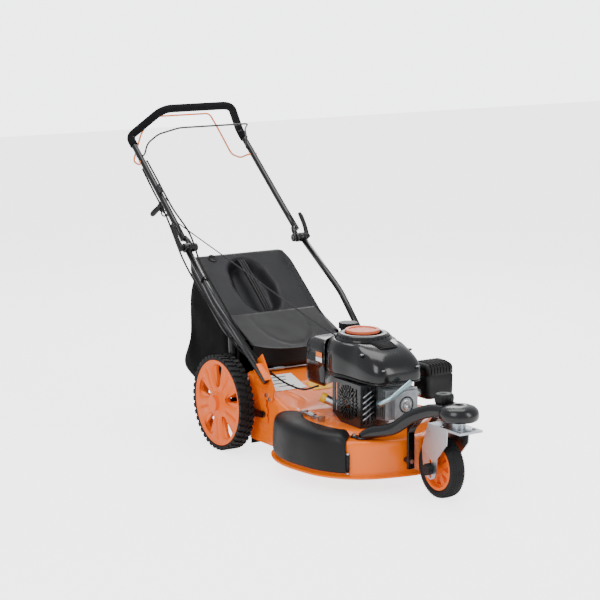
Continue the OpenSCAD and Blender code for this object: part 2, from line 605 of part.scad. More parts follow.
// Round-ended bowl let into the lid around its carrying handle
module lid_bowl(z0, z1, r) for (x = [-52:52:52]) translate([x, 0, z0])
    cylinder(h = z1 - z0, r = r - abs(x) / 6);
module bag_lid() placed() color([0.22, 0.22, 0.23]) {
    difference() {
        union() {
            side_plate(-bag_half - 1, bag_half + 1) polygon([[-48, 340.5], [-8, 318], [-8, 340],
                [-120, 388], [-330, 553], [-348, 556], [-352, 548], [-350, 530], [-345, 525.5]]);
            translate(lid_middle) rotate([0, lid_tilt, 0]) lid_bowl(-38, 0, 79);
        }
        translate(lid_middle) rotate([0, lid_tilt, 0]) lid_bowl(-35, 60, 76);
    }
    translate(lid_middle) rotate([0, lid_tilt, 0]) translate([-131, -13, -24]) cube([262, 26, 22]);
    translate([-332, -100, 552]) rotate([0, lid_tilt, 0]) cylinder(h = 8, r = 16);
}
// ---- Handle ----
lower_route = [[190, 0, 245], [-66, 0, 446], clamp];
lower_y = [205, 232, 218];
lower_slope = 38.1;
module lower_handles() placed() color([0.12, 0.12, 0.13]) both_sides() {
    rod([for (i = [0:2]) [lower_route[i][0], lower_y[i], lower_route[i][2]]], tube_r);
    across(clamp[0], clamp[2], 206, 229, 15);
    across(clamp[0], clamp[2], 186, 206.5, 4);
    across(clamp[0], clamp[2], 182, 192.6, 13);
}
rope_eye = [-480, -188, 682];
upper_route = bent(there_and_back([on_handle(36, 0, 214), on_handle(150, 0, 212), [-672, 212, 918],
    [-588, 130, 1013]]), 34);
// Direction square to the handle's plane
handle_side = [sin(handle_slope), 0, cos(handle_slope)];
module upper_handle() placed() color([0.12, 0.12, 0.13]) {
    difference() {
        union() {
            tube_along(upper_route, tube_r, 24, handle_side);
            both_sides() {
                side_plate(193, 205.6) translate([clamp[0], clamp[2]]) circle(15);
                translate([clamp[0], 195, clamp[2]]) rotate([0, handle_slope, 0]) translate([-48, 0, -8])
                    cube([44, 10, 16]);
            }
        }
        both_sides() {
            across(clamp[0], clamp[2], 180, 240, 4.05);
            for (s = [brake_s, drive_s]) across(on_handle(s, 0, 0)[0], on_handle(s, 0, 0)[2], 190, 235, 3.06);
        }
    }
    // Wire eye for the starter rope, and the bracket that holds the cables' ends
    translate(rope_eye) rotate([0, 62, -12]) rotate_extrude($fn = 48) translate([10, 0])
        circle(2.5, $fn = 24);
    bar(on_handle(236, -9, -207), [-472, -195, 694], 2.5);
    translate(on_handle(246, 0, -224)) rotate([0, handle_slope, 0]) translate([-14, 0, 7])
        cube([28, 13.5, 24]);
}
grip_route = there_and_back([[-640, 212, 892], [-672, 212, 918], [-588, 130, 1013]]);
module foam_grip() placed() color([0.16, 0.16, 0.17]) difference() {
    tube_along(bent(grip_route, 34), grip_d / 2, 24, handle_side);
    tube_along(bent(there_and_back([[-600, 212, 859.5], [-672, 212, 918], [-588, 130, 1013]]), 34),
        tube_r + 0.3, 24, handle_side);
}
brake_s = 415;
drive_s = 391;
// Cam lever on the end of a clamp bolt, lying along the tube
module clamp_lever() {
    bar([-271.5, 238, 601.8], [-284.5, 238, 592.2], 8.4);
    rod([[-278, 238, 597], [-300, 244, 629], [-330, 240, 670]], 5);
}
module clamp_lever_left() placed() color([0.13, 0.13, 0.14]) clamp_lever();
module clamp_lever_right() placed() color([0.13, 0.13, 0.14]) mirror([0, 1, 0]) clamp_lever();
module brake_bail() placed() color([0.1, 0.1, 0.11])
    tube_along(bent(there_and_back([on_handle(brake_s, 0, 224), on_handle(brake_s, 0, 196),
        [-588, 190, 902], [-556, 166, 934], [-478, 130, 960]]), 7), 3, 12, [-0.7, 0, 0.7]);
module drive_bail() placed() color("darkorange")
    tube_along(bent(there_and_back([on_handle(drive_s, 0, 226), on_handle(drive_s, 0, 196),
        [-640, 197, 826], [-688, 190, 834], [-708, 150, 920], [-704, 112, 977]]), 7), 3, 12,
        [0.63, 0, 0.78]);
// Cables held along the right tube: brake cable, drive cable and the starter rope
brake_route = [on_handle(380, 15, -206), on_handle(300, 16, -206), on_handle(160, 17, -206),
    [-290, -200, 640], [-180, -222, 560], [-66, -220, 470], [60, -192, 330], [150, -150, 250],
    [260, -125, 226], [340, -112, 250]];
drive_route = [on_handle(372, -15, -216), on_handle(280, -16, -218), on_handle(150, -16, -220),
    [-282, -234, 570], [-170, -246, 500], [-78, -246, 440], [30, -218, 330], [120, -160, 260],
    [130, -140, 246]];
rope_route = [[-488, -189, 685], [-300, -154, 616], [-80, -116, 538], [140, -80, 460],
    [336, -43, 393]];
module control_cables() placed() color([0.1, 0.1, 0.1]) {
    swept_tube(brake_route, 3);
    swept_tube(drive_route, 3);
}
module starter_rope() placed() color([0.1, 0.1, 0.1]) swept_tube(rope_route, 2);
module starter_grip() placed() color([0.12, 0.12, 0.13]) {
    bar([-544, -200, 670], [-474, -186, 728], 10);
    bar([-510, -193, 698], [-495, -190.3, 689], 6);
}

deck_shell();
trailing_skirt();
rods_and_bolts();
belt_cover();
side_cover();
rear_flap();
handle_brackets();
engine_flange();
crankcase();
cylinder_head();
spark_plug();
muffler();
muffler_guard();
blower_housing();
starter_disc();
recoil_pulley();
fuel_tank();
fuel_cap();
air_filter_box();
filter_element();
carburettor();
oil_filler();
dipstick();
crankshaft();
piston();
flywheel();
drive_pulley();
blade();
blade_bolt();
drive_belt();
gearbox();
input_pulley();
drive_shaft();
pinion_left();
pinion_right();
axle_arms();
lift_lever();
height_quadrant();
rear_tyre_left();
rear_rim_left();
rear_tyre_right();
rear_rim_right();
front_arm();
lock_knob();
caster_fork();
front_axle();
front_tyre();
front_rim();
bag_body();
bag_lid();
lower_handles();
upper_handle();
foam_grip();
clamp_lever_left();
clamp_lever_right();
brake_bail();
drive_bail();
starter_grip();
starter_rope();
control_cables();
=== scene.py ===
"""A three-wheeled petrol lawn mower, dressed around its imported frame.

Places are millimetres from the ground under the rear axle: forwards, to the left and up.
"""

import math

import bmesh
import bpy
import numpy as np
from mathutils import Euler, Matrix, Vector


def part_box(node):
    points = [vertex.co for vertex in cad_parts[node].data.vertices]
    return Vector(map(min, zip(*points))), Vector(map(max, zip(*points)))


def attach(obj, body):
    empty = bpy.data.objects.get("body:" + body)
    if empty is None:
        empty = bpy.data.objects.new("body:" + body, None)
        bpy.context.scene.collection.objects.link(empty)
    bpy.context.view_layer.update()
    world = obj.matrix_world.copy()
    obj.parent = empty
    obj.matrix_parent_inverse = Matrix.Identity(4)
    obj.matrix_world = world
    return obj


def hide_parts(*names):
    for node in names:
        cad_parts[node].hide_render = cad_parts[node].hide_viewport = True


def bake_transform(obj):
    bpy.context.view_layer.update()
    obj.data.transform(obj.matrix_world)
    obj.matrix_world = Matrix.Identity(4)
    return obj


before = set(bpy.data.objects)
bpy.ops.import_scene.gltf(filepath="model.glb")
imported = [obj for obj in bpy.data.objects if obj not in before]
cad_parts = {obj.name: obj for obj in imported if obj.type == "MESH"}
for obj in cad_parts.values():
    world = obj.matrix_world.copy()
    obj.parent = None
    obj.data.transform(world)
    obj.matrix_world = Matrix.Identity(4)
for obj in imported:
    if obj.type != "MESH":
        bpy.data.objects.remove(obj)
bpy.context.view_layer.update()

# ---- Camera, floor and light ----
# A long lens at standing height in front of the mower's right side, over a plain pale floor
# with large soft lamps.
tyre_low, tyre_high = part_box("rear_tyre_left")
rear_axle_x = (tyre_low.x + tyre_high.x) / 2


def at(x, y, z):
    """A point given in millimetres from the ground under the rear axle."""
    return Vector((x / 1000 + rear_axle_x, y / 1000, z / 1000))


def linear(colour):
    """An sRGB hex colour as linear red, green, blue and alpha."""
    parts = [int(colour[i:i + 2], 16) / 255 for i in (0, 2, 4)]
    return [c / 12.92 if c <= 0.04045 else ((c + 0.055) / 1.055) ** 2.4 for c in parts] + [1]


def add_node(tree, kind, inputs=None, **settings):
    """A new node with its settings; each input is a value or another node's output."""
    made = tree.nodes.new(kind)
    for name, value in settings.items():
        setattr(made, name, value)
    for name, value in (inputs or {}).items():
        if isinstance(value, bpy.types.NodeSocket):
            tree.links.new(value, made.inputs[name])
        else:
            made.inputs[name].default_value = value
    return made


def white_to_camera(tree, strength, for_lamps, for_camera):
    """Sets a backdrop's strength: low for the light it throws, high where it is seen directly."""
    seen = add_node(tree, "ShaderNodeLightPath").outputs["Is Camera Ray"]
    glow = add_node(tree, "ShaderNodeMapRange", {"Value": seen, "To Min": for_lamps, "To Max": for_camera})
    tree.links.new(glow.outputs["Result"], strength)


eye = at(5637, -3505, 1667)
target = at(57, 0, 458)
camera_data = bpy.data.cameras.new("camera")
camera_data.lens = 128.2
camera_data.sensor_width = 36
camera_data.clip_end = 100
camera = bpy.data.objects.new("camera", camera_data)
camera.location = eye
camera.rotation_euler = (target - eye).to_track_quat("-Z", "Y").to_euler()
bpy.context.scene.collection.objects.link(camera)
bpy.context.scene.camera = camera

floor_mesh = bpy.data.meshes.new("floor")
floor_mesh.from_pydata([(-9, -9, 0), (9, -9, 0), (9, 9, 0), (-9, 9, 0)], [], [(0, 1, 2, 3)])
floor = bpy.data.objects.new("floor", floor_mesh)
bpy.context.scene.collection.objects.link(floor)
# Matt white floor paint, seen almost as bright as the backdrop.
floor_paint = bpy.data.materials.new("floor_paint")
floor_paint.use_nodes = True
floor_shader = floor_paint.node_tree.nodes["Principled BSDF"]
floor_shader.inputs["Base Color"].default_value = linear("f6f6f6")
floor_shader.inputs["Roughness"].default_value = 0.7
floor_shader.inputs["Emission Color"].default_value = linear("ffffff")
white_to_camera(floor_paint.node_tree, floor_shader.inputs["Emission Strength"], 0.4, 2.6)
floor_mesh.materials.append(floor_paint)

world = bpy.data.worlds.new("studio")
bpy.context.scene.world = world
world.use_nodes = True
backdrop = world.node_tree.nodes["Background"]
backdrop.inputs["Color"].default_value = linear("f4f6fa")
white_to_camera(world.node_tree, backdrop.inputs["Strength"], 0.8, 4.5)


def softbox(name, place, aim, size, watts):
    """A soft rectangular lamp, turned towards a point; places and sizes are metres."""
    data = bpy.data.lights.new(name, "AREA")
    data.shape = "RECTANGLE"
    data.size, data.size_y = size
    data.energy = watts
    lamp = bpy.data.objects.new(name, data)
    lamp.location = place
    lamp.rotation_euler = (Vector(aim) - Vector(place)).to_track_quat("-Z", "Y").to_euler()
    bpy.context.scene.collection.objects.link(lamp)


softbox("key", (1.6, -2.6, 2.4), (0, 0, 0.3), (1.6, 2.2), 60)
softbox("top", (-0.3, 0.2, 3.0), (0, 0, 0), (2.4, 1.6), 50)
softbox("front", (3.2, 1.2, 1.6), (0.3, 0, 0.3), (1.0, 2.0), 36)
softbox("rim", (-2.4, 1.8, 2.0), (0, 0, 0.4), (1.2, 1.8), 30)

# ---- Deck ----
# The deck is one steel pressing, 2.5 mm thick, powder coated gloss orange: a round cutting
# chamber with a rolled rim and a rising tunnel at the back that throws the grass into the bag.
MM = 1000


def surface(name, colours, roughness, patch_mm, grain_mm, grain_depth_mm, **sockets):
    """A shader whose colour and roughness drift over patches, with a fine grain in relief."""
    made = bpy.data.materials.new(name)
    made.use_nodes = True
    tree = made.node_tree
    shader = tree.nodes["Principled BSDF"]
    place = add_node(tree, "ShaderNodeTexCoord").outputs["Object"]
    patches = add_node(tree, "ShaderNodeTexNoise", {"Vector": place, "Scale": MM / patch_mm, "Detail": 4.0})
    tint = add_node(tree, "ShaderNodeMix", {"Factor": patches.outputs["Fac"]}, data_type="RGBA")
    tint.inputs["A"].default_value = linear(colours[0])
    tint.inputs["B"].default_value = linear(colours[1])
    tree.links.new(tint.outputs["Result"], shader.inputs["Base Color"])
    gloss = add_node(tree, "ShaderNodeMapRange", {"Value": patches.outputs["Fac"],
                     "From Min": 0.3, "From Max": 0.7, "To Min": roughness[0], "To Max": roughness[1]})
    tree.links.new(gloss.outputs["Result"], shader.inputs["Roughness"])
    grain = add_node(tree, "ShaderNodeTexNoise", {"Vector": place, "Scale": MM / grain_mm, "Detail": 3.0})
    bump = add_node(tree, "ShaderNodeBump", {"Height": grain.outputs["Fac"], "Strength": 1.0,
                    "Distance": grain_depth_mm / MM})
    tree.links.new(bump.outputs["Normal"], shader.inputs["Normal"])
    for socket, value in sockets.items():
        shader.inputs[socket.replace("_", " ")].default_value = value
    return made


def add_piece(name, points, faces, body, material, replaced=(), smooth=True):
    """A mesh object in metres that rides on a body, with its faces turned outwards."""
    mesh = bpy.data.meshes.new(name)
    mesh.from_pydata([tuple(p) for p in points], [], [tuple(f) for f in faces])
    mesh.materials.append(material)
    if smooth:
        mesh.polygons.foreach_set("use_smooth", [True] * len(mesh.polygons))
    made = bpy.data.objects.new(name, mesh)
    bpy.context.scene.collection.objects.link(made)
    clean = bmesh.new()
    clean.from_mesh(mesh)
    bmesh.ops.remove_doubles(clean, verts=clean.verts, dist=1e-6)
    bmesh.ops.recalc_face_normals(clean, faces=clean.faces)
    clean.to_mesh(mesh)
    clean.free()
    if body:
        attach(made, body)
    if replaced:
        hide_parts(*replaced)
    return made


def modify(made, kind, **settings):
    """Adds a modifier with its settings."""
    modifier = made.modifiers.new(kind.lower(), kind)
    for name, value in settings.items():
        setattr(modifier, name, value)
    return made


def rounder(made, width_mm=0, levels=0):
    """Bevels the edges sharper than 35 degrees and subdivides."""
    if width_mm:
        modify(made, "BEVEL", width=width_mm / MM, segments=2, limit_method="ANGLE",
               angle_limit=math.radians(35), harden_normals=False)
    if levels:
        modify(made, "SUBSURF", levels=levels, render_levels=levels)
    return made


def quad(i, j, columns):
    """The four corners of the square between rows i and i + 1, round a closed row."""
    after = (j + 1) % columns
    return i * columns + j, i * columns + after, (i + 1) * columns + after, (i + 1) * columns + j


def grid_faces(rows, columns, closed=False):
    """Quads between rows of points; closed joins each row's ends."""
    last = columns if closed else columns - 1
    return [quad(i, j, columns) for i in range(rows - 1) for j in range(last)]


def coat(nodes, material):
    """Gives carried-over CAD nodes a material."""
    for name in nodes.split():
        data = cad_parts[name].data
        data.materials.clear()
        data.materials.append(material)


# Polyester powder coat: a thick wet-looking film, faintly orange-peeled.
orange_coat = surface("orange_powder_coat", ("f87200", "ee6900"), (0.2, 0.3), 160, 2.2, 0.02,
                      Coat_Weight=0.22, Coat_Roughness=0.06, Specular_IOR_Level=0.28)

deck_x, deck_radius, crank_x = 430, 268, 415
tunnel_half, tunnel_back = 190, 15
shoulder_radius = 10


def edge_distance(angle):
    """How far the deck's wall is from the chamber's middle in a direction."""
    across, along = math.sin(angle), math.cos(angle)
    bulge_x, bulge_y, bulge_radius = 70, -75, 183
    towards = bulge_x * along + bulge_y * across
    inside = towards ** 2 - bulge_x ** 2 - bulge_y ** 2 + bulge_radius ** 2
    bulge = towards + math.sqrt(inside) if inside > 0 else 0
    tunnel = 0
    if along < 0:
        depth = deck_x - tunnel_back
        tunnel = ((-along / depth) ** 14 + (abs(across) / tunnel_half) ** 14) ** (-1 / 14)
    return (deck_radius ** 60 + max(bulge, 1) ** 60 + max(tunnel, 1) ** 60) ** (1 / 60)


def smooth_step(low, high, value):
    """0 below low and 1 above high, with an even ease between; low may be the larger."""
    share = min(max((value - low) / (high - low), 0), 1)
    return share * share * (3 - 2 * share)


def deck_height(x, y):
    """Height of the deck's top: dome, shoulder, tunnel roof and pressed ribs."""
    out = math.hypot(x - deck_x, y)
    dome = 150 + 15 * smooth_step(226, 192, out)
    roof = np.interp(x, [15, 80, 290, 420], [245, 240, 165, 150])
    inside = smooth_step(tunnel_half + 8, tunnel_half - 10, abs(y))
    top = max(dome, dome + (roof - dome) * inside)
    ridge = -128 + 22 * math.sin((x - 190) / 21)
    if 176 < x < 345:
        ends = smooth_step(176, 200, x) * smooth_step(345, 322, x)
        top += 4.5 * ends * math.exp(-((y - ridge) / 7) ** 2)
    return top


corner = math.atan2(tunnel_half, tunnel_back - deck_x)
even_turns = np.linspace(-math.pi, math.pi, 289)[:-1]
corner_turns = [side * corner + d for side in (-1, 1) for d in np.linspace(-0.06, 0.06, 9)]
turns = sorted(set(np.round(np.concatenate([even_turns, corner_turns]), 6)))
rim_profile = [(13, 42.3), (17, 42.6), (18.2, 45.2), (16.5, 47.8), (11, 48.6), (4, 49.4), (0.8, 52)]
wall_heights = [58, 66, 74, 93, 112, 120, 129, 138]
wall_shares = np.linspace(0, 1, len(wall_heights))
shoulder_bends = (22.5, 45, 67.5, 90)
top_shares = np.linspace(0, 1, 23)[1:]
boss_radius = 24
points = []
rows = len(rim_profile) + len(wall_heights) + len(shoulder_bends) + len(top_shares)
for turn in turns:
    reach = edge_distance(turn)
    way = (math.cos(turn), math.sin(turn))
    flare = smooth_step(2.42, 2.2, abs(turn))
    brow_x = deck_x + (reach - shoulder_radius) * way[0]
    brow_y = (reach - shoulder_radius) * way[1]
    brow = deck_height(brow_x, brow_y)
    for out, height in rim_profile:
        points.append((deck_x + (reach + out * flare) * way[0], (reach + out * flare) * way[1], height))
    for share in wall_shares:
        height = np.interp(share, wall_shares, wall_heights)
        if share >= 0.6:
            height = max(height, height + (brow - 12 - 138) * (share - 0.6) / 0.4)
        points.append((deck_x + reach * way[0], reach * way[1], height))
    for bend in shoulder_bends:
        inward = shoulder_radius * (1 - math.cos(math.radians(bend)))
        height = brow - shoulder_radius + shoulder_radius * math.sin(math.radians(bend))
        points.append((deck_x + (reach - inward) * way[0], (reach - inward) * way[1], height))
    for share in top_shares:
        x = brow_x + (crank_x + boss_radius * way[0] - brow_x) * share
        y = brow_y + (boss_radius * way[1] - brow_y) * share
        points.append((x, y, deck_height(x, y)))
faces = []
for i in range(len(turns)):
    for j in range(rows - 1):
        k = (i + 1) % len(turns)
        corners = (i * rows + j, k * rows + j, k * rows + j + 1, i * rows + j + 1)
        x, y, z = np.mean([points[c] for c in corners], axis=0)
        behind = x < tunnel_back + 8 and abs(y) < tunnel_half - 3 and z < 236
        under = x < 60 and z < 112
        window = 335 < x < 555 and y < -225 and 74 < z < 138
        if not (behind or under or window):
            faces.append(corners)
deck = add_piece("deck_pressing", [at(*p) for p in points], faces, "chassis", orange_coat, ["deck_shell"])
modify(deck, "SOLIDIFY", thickness=0.0025, offset=-1)
coat("handle_brackets height_quadrant", orange_coat)

# ---- Plain finishes of the frame parts ----
# Zinc-plated rods and bolts, black-coated steel, turned shafts and cast aluminium carry on
# their own shapes.
# Bright zinc: pale, slightly blue, with cloudy passivation.
zinc = surface("bright_zinc_plate", ("c9ced2", "a9b0b6"), (0.26, 0.4), 30, 0.8, 0.01, Metallic=1.0)
# Gloss black powder coat on tube and plate.
black_coat = surface("black_powder_coat", ("050506", "09090b"), (0.2, 0.32), 90, 1.6, 0.015,
                     Coat_Weight=0.25, Coat_Roughness=0.1, Specular_IOR_Level=0.4)
# Sand-cast aluminium: light grey, grainy, dull.
cast_alloy = surface("sand_cast_aluminium", ("b4b7ba", "8f9396"), (0.38, 0.6), 22, 1.4, 0.12, Metallic=0.9)
# Turned and ground steel with a thin oil film.
turned_steel = surface("turned_steel", ("8d8f92", "6b6d70"), (0.25, 0.42), 10, 0.6, 0.02, Metallic=1.0)
# Heat-browned muffler steel.
hot_steel = surface("heat_browned_steel", ("4a443e", "2d2a28"), (0.5, 0.75), 24, 1.0, 0.06, Metallic=0.7)
# Polypropylene with a fine spark-eroded grain, near black, softly lit.
grained_plastic = surface("grained_polypropylene", ("080809", "0d0d0f"), (0.4, 0.54), 70, 1.3, 0.05,
                          Specular_IOR_Level=0.3)
# Glossy moulded ABS for the engine's cowl.
cowl_plastic = surface("gloss_black_abs", ("040405", "080809"), (0.16, 0.26), 80, 1.8, 0.012,
                       Coat_Weight=0.3, Coat_Roughness=0.1, Specular_IOR_Level=0.4)
# Moulded rubber, matt with a bloom.
black_rubber = surface("moulded_rubber", ("0a0a0a", "121212"), (0.68, 0.85), 30, 1.2, 0.08,
                       Specular_IOR_Level=0.3)
# Orange moulded nylon of the wheel rims.
orange_nylon = surface("orange_moulded_nylon", ("f26a00", "ea6000"), (0.32, 0.44), 60, 1.5, 0.03,
                       Specular_IOR_Level=0.3)
# Open-cell filter foam.
filter_foam = surface("filter_foam", ("c99a3a", "a87a26"), (0.8, 0.95), 12, 2.0, 0.6)
# Salmon-coloured moulded disc on the starter.
coral_plastic = surface("coral_moulded_disc", ("e06a40", "d46038"), (0.38, 0.5), 30, 1.2, 0.03)
# Yellow moulded cap.
yellow_plastic = surface("yellow_moulded_cap", ("e8b21a", "d9a010"), (0.3, 0.42), 20, 1.2, 0.03)
coat("rods_and_bolts caster_fork oil_filler", zinc)
# Silvery heat sleeve of the plug lead, with a blue-green cast.
heat_sleeve = surface("aluminised_heat_sleeve", ("c4d4d6", "6f9aa3"), (0.22, 0.36), 18, 1.0, 0.05,
                      Metallic=0.9)
coat("spark_plug", heat_sleeve)
coat("engine_flange crankcase cylinder_head carburettor gearbox piston", cast_alloy)
coat("muffler_guard axle_arms lift_lever", black_coat)
coat("crankshaft flywheel drive_pulley blade blade_bolt input_pulley drive_shaft pinion_left pinion_right",
     turned_steel)
coat("muffler", hot_steel)
coat("belt_cover fuel_cap recoil_pulley lock_knob front_axle air_filter_box starter_grip clamp_lever_left"
     " clamp_lever_right", grained_plastic)
coat("fuel_tank blower_housing", cowl_plastic)
coat("trailing_skirt drive_belt starter_rope control_cables rear_tyre_left rear_tyre_right front_tyre",
     black_rubber)
coat("rear_rim_left rear_rim_right front_rim", orange_nylon)
coat("filter_element", filter_foam)
coat("starter_disc", coral_plastic)
coat("dipstick", yellow_plastic)
coat("rear_flap side_cover bag_lid", grained_plastic)

# ---- Side cover ----
# A blown polypropylene cover over the side discharge window, bulging from its hinge at the
# deck's shoulder down to the rim.
cover_turns = np.linspace(math.radians(-141), math.radians(-45), 60)
points = []
profile = [(-78, 168), (-60, 171.6), (-40, 172), (-16, 171.5), (0, 166), (7, 156), (10.5, 140), (12, 118),
           (12.8, 96), (13, 74), (12.4, 62), (10.5, 58.4), (6, 58.2)]
for turn in cover_turns:
    reach = edge_distance(turn)
    share = (turn - cover_turns[0]) / (cover_turns[-1] - cover_turns[0])
    fade = smooth_step(0, 0.13, share) * smooth_step(1.06, 0.94, share)
    for out, height in profile:
        high = 58 + (height - 58) * (0.72 + 0.28 * fade)
        inward = out if out > 0 else out * (0.5 + 0.5 * fade)
        x = deck_x + (reach + inward) * math.cos(turn)
        points.append(at(max(x, 276), (reach + inward) * math.sin(turn), high))
cover = add_piece("side_cover_moulding", points, grid_faces(len(cover_turns), len(profile)), "side_cover",
                  grained_plastic, ["side_cover"])
modify(cover, "SOLIDIFY", thickness=0.0028, offset=-1)
rounder(cover, levels=1)

# ---- Rear flap ----
# A moulded cover sprung down over the tunnel's mouth: its front lip curves round between the
# sides, and a U-shaped groove runs round its middle.
flap_rows, flap_columns = 36, 49
flap_half, flap_back, lip_share, lip_height = 160, -112, 0.72, 256
groove_middle, groove_radius = -62, 92
points = []
for i in range(flap_rows):
    share = i / (flap_rows - 1)
    for j in range(flap_columns):
        side = -flap_half + 2 * flap_half * j / (flap_columns - 1)
        front = 8 + 62 * math.sqrt(max(1 - (side / 176) ** 2, 0))
        x = flap_back + (front - flap_back) * min(share / lip_share, 1)
        z = 396.5 - (x - flap_back) * 0.478
        past_middle = max(x - groove_middle, 0) * 0.82
        groove = abs(math.hypot(past_middle, side) - groove_radius)
        z -= 2.2 * math.exp(-(groove / 3.2) ** 2) * smooth_step(-106, -80, x)
        if share > lip_share:
            fall = (share - lip_share) / (1 - lip_share)
            drop = 2 * fall * smooth_step(0, 1, fall * 0.5) if fall < 1 else 1
            z -= (z - lip_height) * drop
            x -= 3 * math.sin(fall * math.pi / 2) - 4
        points.append(at(x, side, z))
flap = add_piece("rear_flap_moulding", points, grid_faces(flap_rows, flap_columns), "rear_flap",
                 grained_plastic, ["rear_flap"])
modify(flap, "SOLIDIFY", thickness=0.003, offset=-1)

# ---- Tubes ----
# Steel tube bent cold on a mandrel: the handles, the bails and the front arm.


def bent_route(corners, radius, steps=7):
    """Points along straight runs whose corners are rounded, starting a length before each."""
    corners = [Vector(c) for c in corners]
    route = [corners[0]]
    for before, corner_point, after in zip(corners, corners[1:], corners[2:]):
        length = min(radius, (before - corner_point).length / 2.01, (after - corner_point).length / 2.01)
        start = corner_point + (before - corner_point).normalized() * length
        end = corner_point + (after - corner_point).normalized() * length
        for i in range(steps + 1):
            t = i / steps
            route.append((1 - t) ** 2 * start + 2 * t * (1 - t) * corner_point + t * t * end)
    return route + [corners[-1]]


def spline_route(corners, steps=6):
    """Points along a smooth curve through all the corners."""
    corners = [Vector(c) for c in corners]
    ends = [corners[0] * 2 - corners[1]] + corners + [corners[-1] * 2 - corners[-2]]
    route = []
    for a, b, c, d in zip(ends, ends[1:], ends[2:], ends[3:]):
        for i in range(steps):
            t = i / steps
            route.append(0.5 * (2 * b + (c - a) * t + (2 * a - 5 * b + 4 * c - d) * t * t
                                + (3 * b - a - 3 * c + d) * t ** 3))
    return route + [corners[-1]]


def capped_faces(rings, count):
    """Faces between stacked closed rings of points, with the first and the last ring filled in."""
    ends = [tuple(range(count))[::-1], tuple(range((rings - 1) * count, rings * count))]
    return grid_faces(rings, count, closed=True) + ends


def tube_mesh(route, radii, sides=20, flat=1.0, up=None):
    """Points and faces of a tube along a route, closed at its ends; radii is one or one each."""
    route = [Vector(p) for p in route]
    if not hasattr(radii, "__len__"):
        radii = [radii] * len(route)
    points, normal = [], None
    for i, centre in enumerate(route):
        along = (route[min(i + 1, len(route) - 1)] - route[max(i - 1, 0)]).normalized()
        if normal is None:
            normal = Vector(up or ((0, 0, 1) if abs(along.z) < 0.9 else (1, 0, 0)))
        normal = (normal - along * normal.dot(along)).normalized()
        other = along.cross(normal)
        for k in range(sides):
            turn = 2 * math.pi * k / sides
            points.append(centre + radii[i] * (normal * math.cos(turn) * flat + other * math.sin(turn)))
    return points, capped_faces(len(route), sides)


def joined(*meshes):
    """Several points-and-faces pairs as one."""
    points, faces = [], []
    for some_points, some_faces in meshes:
        faces += [tuple(i + len(points) for i in f) for f in some_faces]
        points += list(some_points)
    return points, faces


def lathe(profile, centre, axis="y", sides=64):
    """A closed turned shape from (distance along the axis, radius) pairs in millimetres."""
    points = []
    for k in range(sides):
        turn = 2 * math.pi * k / sides
        for along, radius in profile:
            a, b = radius * math.cos(turn), radius * math.sin(turn)
            spot = {"y": (a, along, b), "z": (a, b, along), "x": (along, a, b)}[axis]
            points.append(centre + Vector(spot) / MM)
    faces, count = [], len(profile)
    for i in range(sides):
        here, there = i * count, (i + 1) % sides * count
        for j in range(count):
            after = (j + 1) % count
            faces.append((here + j, there + j, there + after, here + after))
    return points, faces


def there_and_back(corners):
    """Corners on the left, followed by their mirror image on the right."""
    return list(corners) + [(x, -y, z) for x, y, z in reversed(corners)]


def points_at(corners):
    """Scene points of several (forwards, left, up) places in millimetres."""
    return [at(*c) for c in corners]


clamp_x, clamp_z = -278, 597
clamp_pivot = at(clamp_x, 0, clamp_z)
slope = math.radians(39.2)


def on_handle(distance, out, side):
    """A place along the upper handle from its clamp, out from its front face."""
    return (clamp_x - distance * math.cos(slope) + out * math.sin(slope), side,
            clamp_z + distance * math.sin(slope) + out * math.cos(slope))


grip_corners = [(-640, 212, 892), (-672, 212, 918), (-588, 130, 1013)]
handle_corners = [on_handle(36, 0, 214), on_handle(150, 0, 212)] + grip_corners[1:]
handle_route = bent_route(points_at(there_and_back(handle_corners)), 0.034)
across_handle = (math.sin(slope), 0, math.cos(slope))
upper = tube_mesh(handle_route, 0.010, 24, up=across_handle)
bosses = []
for side in (-1, 1):
    boss = [(193, 4.2), (205.6, 4.2), (205.6, 14), (204.6, 15), (194, 15), (193, 14)]
    bosses.append(lathe([(side * along, radius) for along, radius in boss], clamp_pivot, sides=36))
    root = [on_handle(6, 0, side * 200), on_handle(28, 0, side * 201), on_handle(44, 0, side * 207)]
    bosses.append(tube_mesh(points_at(root), [0.0085, 0.0088, 0.0095], 16, up=across_handle))
eye_ring = []
eye_centre = at(-480, -188, 682)
eye_turn = Euler((0, math.radians(62), math.radians(-12)))
for i in range(33):
    turn = i * math.pi / 16
    spot = Vector((0.010 * math.cos(turn), 0.010 * math.sin(turn), 0))
    spot.rotate(eye_turn)
    eye_ring.append(eye_centre + spot)
bosses.append(tube_mesh(eye_ring, 0.0025, 10))
bosses.append(tube_mesh(points_at([on_handle(236, -9, -207), (-472, -195, 694)]), 0.0025, 10))
bosses.append(tube_mesh(points_at([on_handle(232, 20, -217.4), on_handle(260, 20, -217.4)]),
              0.0066, 4, up=across_handle, flat=1.9))
handle = add_piece("upper_handle_tube", *joined(upper, *bosses), "handle", black_coat, ["upper_handle"])
lower_corners = [(190, 205, 245), (-66, 232, 446), (-278, 218, 597)]
lower = []
for side in (-1, 1):
    corners = points_at([(x, side * y, z) for x, y, z in lower_corners])
    lower.append(tube_mesh(bent_route(corners, 0.035), 0.010, 24))
    ear = [(206, 4), (206, 14), (207, 15), (228, 15), (229, 14), (229, 4)]
    bolt = [(182, 0.2), (182, 12), (183, 13), (192.6, 13), (192.6, 4), (206, 4), (206, 0.2)]
    for turned in (ear, bolt):
        lower.append(lathe([(side * along, radius) for along, radius in turned], clamp_pivot, sides=36))
lower = add_piece("lower_handle_tubes", *joined(*lower), "chassis", black_coat, ["lower_handles"])

